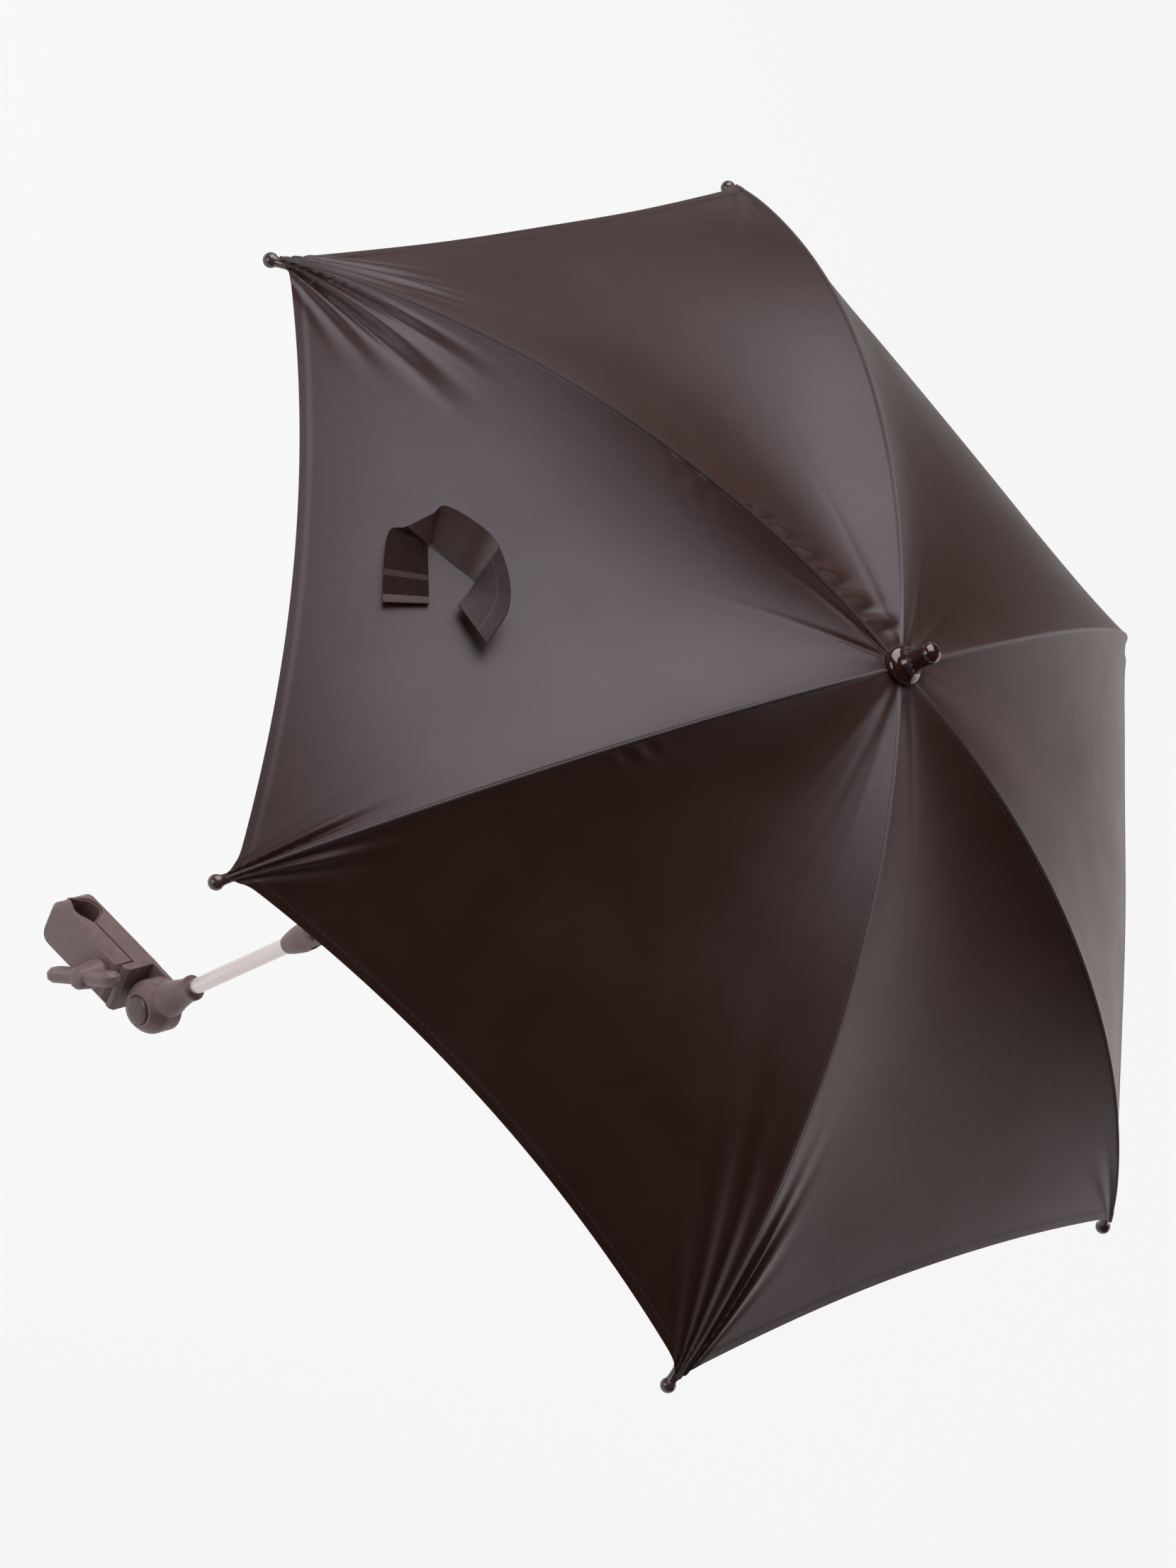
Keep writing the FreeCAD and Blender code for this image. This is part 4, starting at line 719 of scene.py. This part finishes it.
def gore_points(rib):
    """Points, cloth measures and edge distances of one gore in the rib's own axes.

    Base surface, plus folds and the hem's step times the panel's outward direction, plus the seam's
    bell less the corner's dip times the rib's outward direction, plus the corner's reach along the rib.
    """
    t = np.linspace(-1, 1, 2 * COLUMNS + 1)
    lateral = np.sign(t) * np.abs(t) ** COLUMN_BIAS
    half = np.where(lateral < 0, -1.0, 1.0)[None]
    across = np.abs(lateral)[None]
    radius = row_radius[:, None]
    points = panel_surface(radius, across, half)
    slope = rib_slope(radius)
    lean = slope * FOLD_LEAN
    up = np.stack([0 * lean, 0 * lean, np.cos(lean)], axis=-1)
    folds = np.zeros(points.shape[:2])
    outward = np.zeros(points.shape)
    for side in (-1.0, 1.0):
        chosen = (half == side) & np.ones_like(radius, bool)
        place = side * (across - 1)
        heights = panel_folds(panel_of(rib, side), radius, place)
        middle = np.array([math.cos(half_panel), side * math.sin(half_panel), 0])
        direction = up + np.sin(lean)[..., None] * middle
        folds = np.where(chosen, heights, folds)
        outward = np.where(chosen[..., None], direction, outward)
    aside = across * radius / 2
    run = rib_run(radius) + 0 * across
    to_hem = rib_run(np.array(HEM_RADIUS)) - run
    rise = np.clip((radius - CROWN_HOLE) / SEAM_RISE, 0, 1)
    seam = SEAM_RIDGE * np.exp(-((aside / SEAM_WIDTH) ** 2)) * rise
    hem = HEM_STEP * np.clip((HEM_BAND - to_hem) / HEM_SLOPE, 0, 1)
    rib_up = np.stack([np.sin(slope), 0 * slope, np.cos(slope)], axis=-1)
    rib_ahead = np.stack([np.cos(slope), 0 * slope, -np.sin(slope)], axis=-1)
    corner = np.exp(-((aside / CORNER_WIDTH) ** 2)) * np.clip(1 - to_hem / CORNER_LENGTH, 0, 1) ** 2
    points = points + (folds + hem)[..., None] * outward
    points = points + (seam - CORNER_DIP * corner)[..., None] * rib_up
    points = points + (CORNER_REACH * corner)[..., None] * rib_ahead
    cloth = np.stack([half * (across - 1) * radius / 2, run], axis=-1)
    edges = np.stack([aside, to_hem], axis=-1)
    return points, cloth, edges


def thicken(piece, thickness, offset):
    """Solidify with a closed rim that is split from the faces; offset -1 grows inwards, 0 both ways."""
    wall = piece.modifiers.new("thickness", "SOLIDIFY")
    wall.thickness = thickness
    wall.offset = offset
    wall.use_even_offset = True
    rim = piece.modifiers.new("rim", "EDGE_SPLIT")
    rim.split_angle = RIM_ANGLE


def canopy_gore(rib):
    """One sheet of the canopy, on its rib, that moves with the rib's arm."""
    points, cloth, edges = gore_points(rib)
    azimuth = azimuths[rib]
    placed = to_row_frame(points, azimuth)
    piece = surface(f"canopy_cloth_{rib}", placed, uv_maps={"cloth": cloth, "edges": edges})
    piece.data.flip_normals()
    piece.data.materials.append(cloth_finish)
    thicken(piece, CLOTH, -1.0)
    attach(piece, f"rib_{rib}_arm")
    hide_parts(f"canopy_gore_{rib}")
    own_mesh(piece)
    return piece


gores = {rib: canopy_gore(rib) for rib in azimuths}
print("gores:", len(gores), "faces each:", len(gores[1].data.polygons))

# %% [markdown]
# # The tie strap
# A short strap of hook-and-loop tape is sewn to one panel and wraps round the closed parasol. On the
# open canopy it lies as it fell: one end flat on the cloth, the middle standing on its edge, the
# other end turned over. Its two edges are drawn through pairs of points, and the tape is the ruled
# surface between the two smooth edges.

# %% Make the strap
STRAP_RADIUS = 264 * MM
STRAP_ASIDE = -4 * MM
STRAP_ROWS = 120
STRAP_COLUMNS = 15
TAPE_THICKNESS = 0.9 * MM
TAPE_THREADS = 1100.0
TAPE_MOTTLE = 300.0
SEWN_BAND = (0.085, 0.062, 0.061)
# The tape has hooks up to the first of these lengths, up to the second the same hooks in a lighter
# and glossier copy, painted sheen where the standing middle catches the lamps, and loops beyond it.
TAPE_PARTS = np.array([41, 83]) * MM
# Sewn bands: axis (Y along the tape), middle, half width and strength.
HOOK_BANDS = [("Y", 2.4 * MM, 1.9 * MM, 0.85), ("Y", 15.5 * MM, 1.6 * MM, 0.35)]
LOOP_BANDS = [("X", 6.5 * MM, 0.4 * MM, 0.4)]
# Name, dark tone, light tone, least and most roughness, gloss, depth of the bump in metres, sewn bands.
TAPE_LOOKS = [
    ("tape_hooks", (0.010, 0.0026, 0.0024), (0.016, 0.0042, 0.0039), (0.6, 0.75), 0.1, 6e-5, HOOK_BANDS),
    # Painted sheen: the hook tape again, in a lighter colour where the standing middle catches the
    # lamps.
    ("tape_hooks_lit", (0.030, 0.009, 0.008), (0.040, 0.013, 0.011), (0.27, 0.33), 0.6, 3e-5, []),
    ("tape_loops", (0.034, 0.020, 0.024), (0.044, 0.028, 0.032), (0.46, 0.54), 0.2, 4e-5, LOOP_BANDS),
]
# Pairs of edge points in mm: towards the crown, towards the first rib, off the cloth.
STRAP_EDGES = np.array([
    [(-32.4, -28.0, 1.5), (-10.0, -25.5, 1.5)],
    [(-32.4, 9.0, 0.9), (-12.5, 5.0, 0.9)],
    [(-24.0, 13.5, 3.5), (-12.2, 7.0, 0.9)],
    [(-13.0, 17.5, 12.5), (-11.0, 7.5, 0.9)],
    [(-7.5, 20.5, 17.0), (-8.5, 6.0, 0.9)],
    [(6.5, 14.0, 18.0), (2.0, -1.5, 0.9)],
    [(18.0, 5.0, 17.0), (11.5, -8.0, 0.9)],
    [(25.5, -12.0, 15.5), (11.0, -12.5, 2.5)],
    [(26.5, -29.5, 14.0), (7.0, -20.0, 4.5)],
    [(18.0, -46.5, 10.0), (3.5, -26.0, 6.5)],
])


def smooth_through(points, count):
    """Catmull-Rom curve: between two points, a cubic that runs in line with the points beside them."""
    ends = np.concatenate([[2 * points[0] - points[1]], points, [2 * points[-1] - points[-2]]])
    place = np.linspace(0, len(points) - 1, count)
    step = np.minimum(place.astype(int), len(points) - 2)
    t = (place - step).reshape((-1,) + (1,) * (points.ndim - 1))
    a, b, c, d = (ends[step + i] for i in range(4))
    square, cube = 2 * a - 5 * b + 4 * c - d, 3 * b - a - 3 * c + d
    return 0.5 * (2 * b + (c - a) * t + square * t**2 + cube * t**3)


def strap_place():
    """Origin and directions on the first panel: towards the crown, towards the rib, off the cloth."""
    step = np.array([-1, 0, 1]) * MM
    low, start, high = panel_surface(STRAP_RADIUS + step, np.ones(3), np.ones(3))
    up = (low - high) / np.linalg.norm(low - high)
    side = np.array([math.sin(half_panel), -math.cos(half_panel), 0])
    off = np.cross(side, up)
    off = off / np.linalg.norm(off) * np.sign(off[2])
    return start - side * STRAP_ASIDE, np.stack([up, side, off])


def tape_finish(name, dark, light, rough, specular, depth, bands):
    """Woven tape: two tones by the grain, sewn bands in their own colour, and a weave in the bump."""
    material, tree, shader = new_material(name)
    threads, flat = measures(tree, "tape")
    weave = place_group(tree, weave_group, threads, Threads=TAPE_THREADS)
    place = tree.nodes.new("ShaderNodeTexCoord").outputs["Object"]
    grain = place_group(tree, grain_group, place, Scale=TAPE_MOTTLE)
    colour = mix_colour(tree, spread(tree, grain.outputs["Shade"], 0.0, 1.0), dark, light)
    for axis, middle, half, share in bands:
        off = math_node(tree, "ABSOLUTE", math_node(tree, "SUBTRACT", flat[axis], middle))
        inside = math_node(tree, "MULTIPLY", math_node(tree, "LESS_THAN", off, half), share)
        colour = mix_colour(tree, inside, colour, SEWN_BAND)
    tree.links.new(colour, shader.inputs["Base Color"])
    tree.links.new(spread(tree, grain.outputs["Height"], *rough), shader.inputs["Roughness"])
    shader.inputs["Specular IOR Level"].default_value = specular
    height = math_node(tree, "ADD", weave.outputs["Height"], grain.outputs["Height"])
    add_bump(tree, shader, height, depth)
    return material


def tie_strap():
    """The tape as a grid: rows along it through the smooth edges, columns from one edge to the other."""
    origin, axes = strap_place()
    edges = smooth_through(STRAP_EDGES, STRAP_ROWS) * MM
    t = np.linspace(0, 1, STRAP_COLUMNS)[None, :, None]
    local = edges[:, None, 0] * (1 - t) + edges[:, None, 1] * t
    points = to_row_frame(origin + local @ axes, azimuths[1])
    middle = local[:, STRAP_COLUMNS // 2]
    run = np.concatenate([[0], np.cumsum(np.linalg.norm(np.diff(middle, axis=0), axis=1))])
    width = np.linalg.norm(edges[:, 0] - edges[:, 1], axis=1).mean()
    tape = np.stack(np.broadcast_arrays(t[..., 0] * width, run[:, None]), axis=-1)
    piece = surface("tie_tape", points, uv_maps={"tape": tape})
    for look in TAPE_LOOKS:
        piece.data.materials.append(tape_finish(*look))
    start = np.repeat(run[:-1], STRAP_COLUMNS - 1)
    parts = np.digitize(start, TAPE_PARTS).astype(np.int32)
    piece.data.polygons.foreach_set("material_index", parts)
    thicken(piece, TAPE_THICKNESS, 0.0)
    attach(piece, "rib_1_arm")
    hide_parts("tie_strap")
    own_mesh(piece)
    print("strap length mm:", round(run[-1] / MM, 1), "width mm:", round(width / MM, 1))


tie_strap()

# %% [markdown]
# # Turned plastic parts
# The finial, the ball tips and the push buttons are round mouldings, so their profiles are turned
# about an axis. Their places and heights come from the CAD boxes. Edges that would be knife-sharp get
# the small rounding that a mould gives them, because it is what catches the light.


# %% Finish a turned part
def stand_for(piece, node, slot):
    """A dressed piece takes a CAD node's body, finish and place."""
    piece.data.materials.append(hard_finishes[slot])
    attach(piece, frame["nodes"][node]["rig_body"])
    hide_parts(node)


# %% Finial
FINIAL_FOOT = 10.5 * MM
FINIAL_NUB = 5.6 * MM
FINIAL_SKIRT = 3.2 * MM
FINIAL_SHOULDER = 12.5 * MM
FINIAL_SHORTER = 3 * MM


def finial():
    """Bell with a rounded foot, a hollow flank drawn up to a slim nub, and a domed end."""
    height = (cap_high - cap_low)[2]
    foot, nub = FINIAL_FOOT, FINIAL_NUB
    skirt, shoulder = (foot, FINIAL_SKIRT), (nub * 0.92, FINIAL_SHOULDER)
    top = height - FINIAL_SHORTER
    profile = np.concatenate([
        [(0, 0)],
        edge_round((0, 0), (foot, 0), skirt, 0.8 * MM),
        edge_round((foot, 0), skirt, (nub + 2.6 * MM, 5.2 * MM), 1.6 * MM),
        bow((nub + 2.9 * MM, 5.0 * MM), (nub + 0.2 * MM, 6.8 * MM), shoulder),
        bow((nub, top - nub * 0.9), (nub, top), (0, top)),
    ])
    return turned("finial_bell", profile, (shaft[0], shaft[1], cap_low[2]), (0, 0, 1))


stand_for(finial(), "finial_cap", "finial_plastic")


# %% Ball tips
TIP_SIDES = 40
TIP_BALL = 4 * MM
TIP_SLEEVE = 2.6 * MM
TENON = 9 * MM
RIB_CENTRE_UNDER = 4.4 * MM


def ball_tip(rib):
    """Sleeve that runs into a ball: a straight side, a hollow neck and most of a circle."""
    arc = bend_radius - RIB_CENTRE_UNDER
    turn = math.asin((TIP_RADIUS - BEND_START) / bend_radius) - TENON / arc
    reach = TENON + TIP_BALL * 0.6
    angle = np.linspace(math.asin(TIP_SLEEVE / TIP_BALL) + 0.12, math.pi, 28)
    ball = np.stack([TIP_BALL * np.sin(angle), reach - TIP_BALL * np.cos(angle)], axis=-1)
    profile = np.concatenate([
        [(0, 0)],
        edge_round((0, 0), (TIP_SLEEVE, 0), (TIP_SLEEVE, TENON), 0.4 * MM),
        bow((TIP_SLEEVE, 5 * MM), (TIP_SLEEVE, ball[0][1] - 0.6 * MM), ball[0], 8),
        ball,
    ])
    start = np.array([BEND_START + arc * math.sin(turn), 0, bend_low + arc * math.cos(turn)])
    ahead = np.array([math.cos(turn), 0, -math.sin(turn)])
    base = to_row_frame(start[None], azimuths[rib])[0]
    axis = to_row_frame((start + ahead)[None], azimuths[rib])[0] - base
    return turned(f"ball_tip_{rib}", profile, base, axis, TIP_SIDES)


for rib in azimuths:
    stand_for(ball_tip(rib), f"rib_tip_{rib}", "tip_plastic")


# %% Push buttons
SWIVEL_DOME = 2.4 * MM
TILT_DOME = 2.0 * MM


def push_button(name, node, dome):
    """Round button along -Y: a plain skirt, a rounded rim and a shallow dome."""
    low, high = (np.array(c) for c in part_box(node))
    middle = (low + high) / 2
    radius, height = (high - low)[0] / 2, (high - low)[1]
    rim = (radius, height - dome * 0.7)
    profile = np.concatenate([
        [(0, 0)],
        edge_round((0, 0), (radius, 0), rim, 0.3 * MM),
        bow(rim, (radius * 0.93, height), (0, height), 24),
    ])
    return turned(name, profile, (middle[0], high[1], middle[2]), (0, -1, 0))


swivel_button = push_button("swivel_push_button", "swivel_button", SWIVEL_DOME)
stand_for(swivel_button, "swivel_button", "button_plastic")
tilt_button = push_button("tilt_push_button", "tilt_button", TILT_DOME)
stand_for(tilt_button, "tilt_button", "button_plastic")
print("turned parts:", 3 + len(azimuths))

# %% [markdown]
# # CAD pieces
# The ribs, tubes, clamp and joints already have their real form, so they stay as they are. A CAD mesh
# comes as loose facets: Weld joins them, a narrow bevel breaks the sharp moulded edges, and weighted
# normals let the light run smoothly over the rounds while flat faces stay flat.

# %% Ease and paint the CAD pieces
SHARP_EDGE = math.radians(38)
FACET_WELD = 2e-6
# Width of the bevel in mm. Pieces that aren't named keep their edges.
BEVELS = {
    "clamp_frame": 0.5, "moving_jaw": 0.4, "wing_knob": 0.7, "swivel_head": 0.6, "tilt_fork": 0.5,
    "tilt_tongue": 0.5, "runner": 0.5, "crown": 0.3, "fixed_jaw_pad": 0.2, "moving_jaw_pad": 0.2,
}


def ease(piece, bevel):
    """Weld the facets, then bevel the sharp edges and weight the normals, or only split the edges."""
    mesh = piece.data
    if "custom_normal" in mesh.attributes:
        mesh.attributes.remove(mesh.attributes["custom_normal"])
    mesh.polygons.foreach_set("use_smooth", np.ones(len(mesh.polygons), bool))
    weld = piece.modifiers.new("weld", "WELD")
    weld.merge_threshold = FACET_WELD
    if bevel:
        cut = piece.modifiers.new("bevel", "BEVEL")
        cut.limit_method = "ANGLE"
        cut.angle_limit = SHARP_EDGE
        cut.width = bevel * MM
        cut.segments = 3
        weighted = piece.modifiers.new("weighted", "WEIGHTED_NORMAL")
        weighted.keep_sharp = True
    else:
        parted = piece.modifiers.new("edges", "EDGE_SPLIT")
        parted.split_angle = SHARP_EDGE


painted = 0
for entry in frame["record"]["subparts"]:
    node, slot = entry["node"], entry["material_slot"]
    piece = frame["nodes"][node]
    if piece.hide_render:
        continue
    piece.data.materials.clear()
    piece.data.materials.append(hard_finishes[slot])
    ease(piece, BEVELS.get(node, 0))
    painted += 1
print("CAD pieces painted:", painted)

# %% [markdown]
# # Springs
# Each push button stands on a coil spring. The far end of the spring stays on its seat, and the near
# end goes in with the button, so the spring keeps its length less the travel of the button. Here each
# spring only gets its own copy of its mesh, and its button's joint and travel are listed.

# %% Give each spring its own mesh
SPRING_TRAVEL = {"swivel_spring": ("swivel_press", 3.0 * MM), "tilt_spring": ("tilt_press", 1.5 * MM)}

for node, (joint, travel) in SPRING_TRAVEL.items():
    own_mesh(frame["nodes"][node])

# %% [markdown]
# # Stage
# The photograph is a studio cut-out on plain pale grey. A pale floor far below the parasol keeps its
# soft shadow. One large soft lamp stands on the side of the first two panels, a slightly warm one
# lower on the far side, and a weak one fills the front. The surroundings are pale to the eye and dim
# to everything else, so that the lamps alone shape the gloss of the cloth.


# %% Floor and surroundings
FLOOR_LEVEL = -0.62
FLOOR_RADII = [0.0, 1.0, 2.5, 5.0]
FLOOR_SIDES = 96
FLOOR_COLOUR = (0.86, 0.86, 0.86, 1.0)
FLOOR_GLOW = (0.955, 0.955, 0.955, 1.0)
# Share of the glow in what the eye and what a mirror sees of the floor.
GLOW_TO_EYE = 0.82
GLOW_TO_MIRROR = 0.6
SKY_TO_EYE = (0.93, 0.93, 0.93)
SKY_TO_SURFACES = (0.22, 0.22, 0.22)
SKY_TO_MIRROR = (0.01, 0.01, 0.01)
# How much paler a mirror sees the sky along the ground, and between which heights of view that fades.
HORIZON_SHARE = 0.12
HORIZON_FADE = (0.02, 0.3)


def rays(tree):
    """Whether a ray comes from the eye, and whether it comes off a mirror or through glass."""
    path = tree.nodes.new("ShaderNodeLightPath").outputs
    mirror = math_node(tree, "MAXIMUM", path["Is Glossy Ray"], path["Is Transmission Ray"])
    return path["Is Camera Ray"], mirror


def pale_floor():
    """Large pale disc; what the eye sees of it is mostly its own pale glow, so shadows stay soft."""
    angle = np.linspace(0, 2 * np.pi, FLOOR_SIDES, endpoint=False)
    radii = np.array(FLOOR_RADII)[:, None]
    level = FLOOR_LEVEL + 0 * radii * angle
    points = np.stack([radii * np.cos(angle), radii * np.sin(angle), level], axis=-1)
    floor = surface("floor", points, wrap=True, weld=True)
    material, tree, shader = new_material("pale_floor")
    shader.inputs["Base Color"].default_value = FLOOR_COLOUR
    shader.inputs["Roughness"].default_value = 0.9
    shader.inputs["Specular IOR Level"].default_value = 0.1
    glow = tree.nodes.new("ShaderNodeEmission")
    glow.inputs["Color"].default_value = FLOOR_GLOW
    eye, mirror = rays(tree)
    eye = math_node(tree, "MULTIPLY", eye, GLOW_TO_EYE)
    seen = math_node(tree, "MAXIMUM", eye, math_node(tree, "MULTIPLY", mirror, GLOW_TO_MIRROR))
    mix = tree.nodes.new("ShaderNodeMixShader")
    tree.links.new(seen, mix.inputs["Fac"])
    tree.links.new(shader.outputs[0], mix.inputs[1])
    tree.links.new(glow.outputs[0], mix.inputs[2])
    tree.links.new(mix.outputs[0], tree.nodes["Material Output"].inputs["Surface"])
    floor.data.materials.append(material)


def surroundings():
    """World: pale to the eye, dim to rough surfaces, dark to mirrors but for a band along the ground."""
    world = bpy.data.worlds.new("studio")
    world.use_nodes = True
    tree = world.node_tree
    background = tree.nodes["Background"]
    direction = tree.nodes.new("ShaderNodeSeparateXYZ")
    tree.links.new(tree.nodes.new("ShaderNodeTexCoord").outputs["Generated"], direction.inputs[0])
    low = spread(tree, direction.outputs["Z"], 1.0, 0.0, *HORIZON_FADE)
    eye, mirror = rays(tree)
    dim = mix_colour(tree, mirror, SKY_TO_SURFACES, SKY_TO_MIRROR)
    horizon = math_node(tree, "MULTIPLY", mirror, low)
    horizon = math_node(tree, "MULTIPLY", horizon, HORIZON_SHARE)
    pale = math_node(tree, "MAXIMUM", horizon, eye)
    colour = mix_colour(tree, pale, dim, SKY_TO_EYE)
    tree.links.new(colour, background.inputs["Color"])
    bpy.context.scene.world = world


pale_floor()
surroundings()


# %% Lamps and camera
LAMP_TARGET = Vector(tips_level) + Vector((0, 0, 0.08))
WARM = (1.0, 0.87, 0.83)
LENS = 138.3
VIEW_AHEAD = (-0.0895, 0.7084, -0.7001)
VIEW_RIGHT = (0.3335, 0.6837, 0.6491)
VIEW_FROM = (0.2680, -2.2140, 2.1020)


def soft_lamp(name, direction, distance, size, power, colour=(1.0, 1.0, 1.0)):
    """Square area lamp that faces the canopy from a direction."""
    data = bpy.data.lights.new(name, "AREA")
    data.shape = "SQUARE"
    data.size = size
    data.energy = power
    data.color = colour
    lamp = bpy.data.objects.new(name, data)
    towards = Vector(direction).normalized()
    lamp.location = LAMP_TARGET + towards * distance
    lamp.rotation_mode = "QUATERNION"
    lamp.rotation_quaternion = towards.to_track_quat("Z", "Y")
    lamp.visible_camera = False
    bpy.context.scene.collection.objects.link(lamp)


soft_lamp("side_softbox", (-0.67, 0.10, 0.73), 2.2, 2.6, 83.0)
soft_lamp("far_softbox", (0.46, 0.88, 0.08), 2.4, 2.4, 18.5, WARM)
soft_lamp("front_fill", (-0.30, -0.95, 0.10), 3.0, 1.6, 26.0)


def photo_camera():
    """Camera fitted to the photograph: the columns of its turn are its right, up and back directions."""
    data = bpy.data.cameras.new("photo_camera")
    data.sensor_fit = "AUTO"
    data.sensor_width = 36.0
    data.lens = LENS
    data.clip_end = 200.0
    camera = bpy.data.objects.new("photo_camera", data)
    ahead = Vector(VIEW_AHEAD).normalized()
    up = Vector(VIEW_RIGHT).cross(ahead).normalized()
    right = ahead.cross(up).normalized()
    place = Vector(tips_level) + Vector(VIEW_FROM)
    turn = Matrix((right, up, -ahead)).transposed().to_4x4()
    camera.matrix_world = Matrix.Translation(place) @ turn
    bpy.context.scene.collection.objects.link(camera)
    bpy.context.scene.camera = camera


photo_camera()
bpy.context.scene.view_settings.view_transform = "Standard"
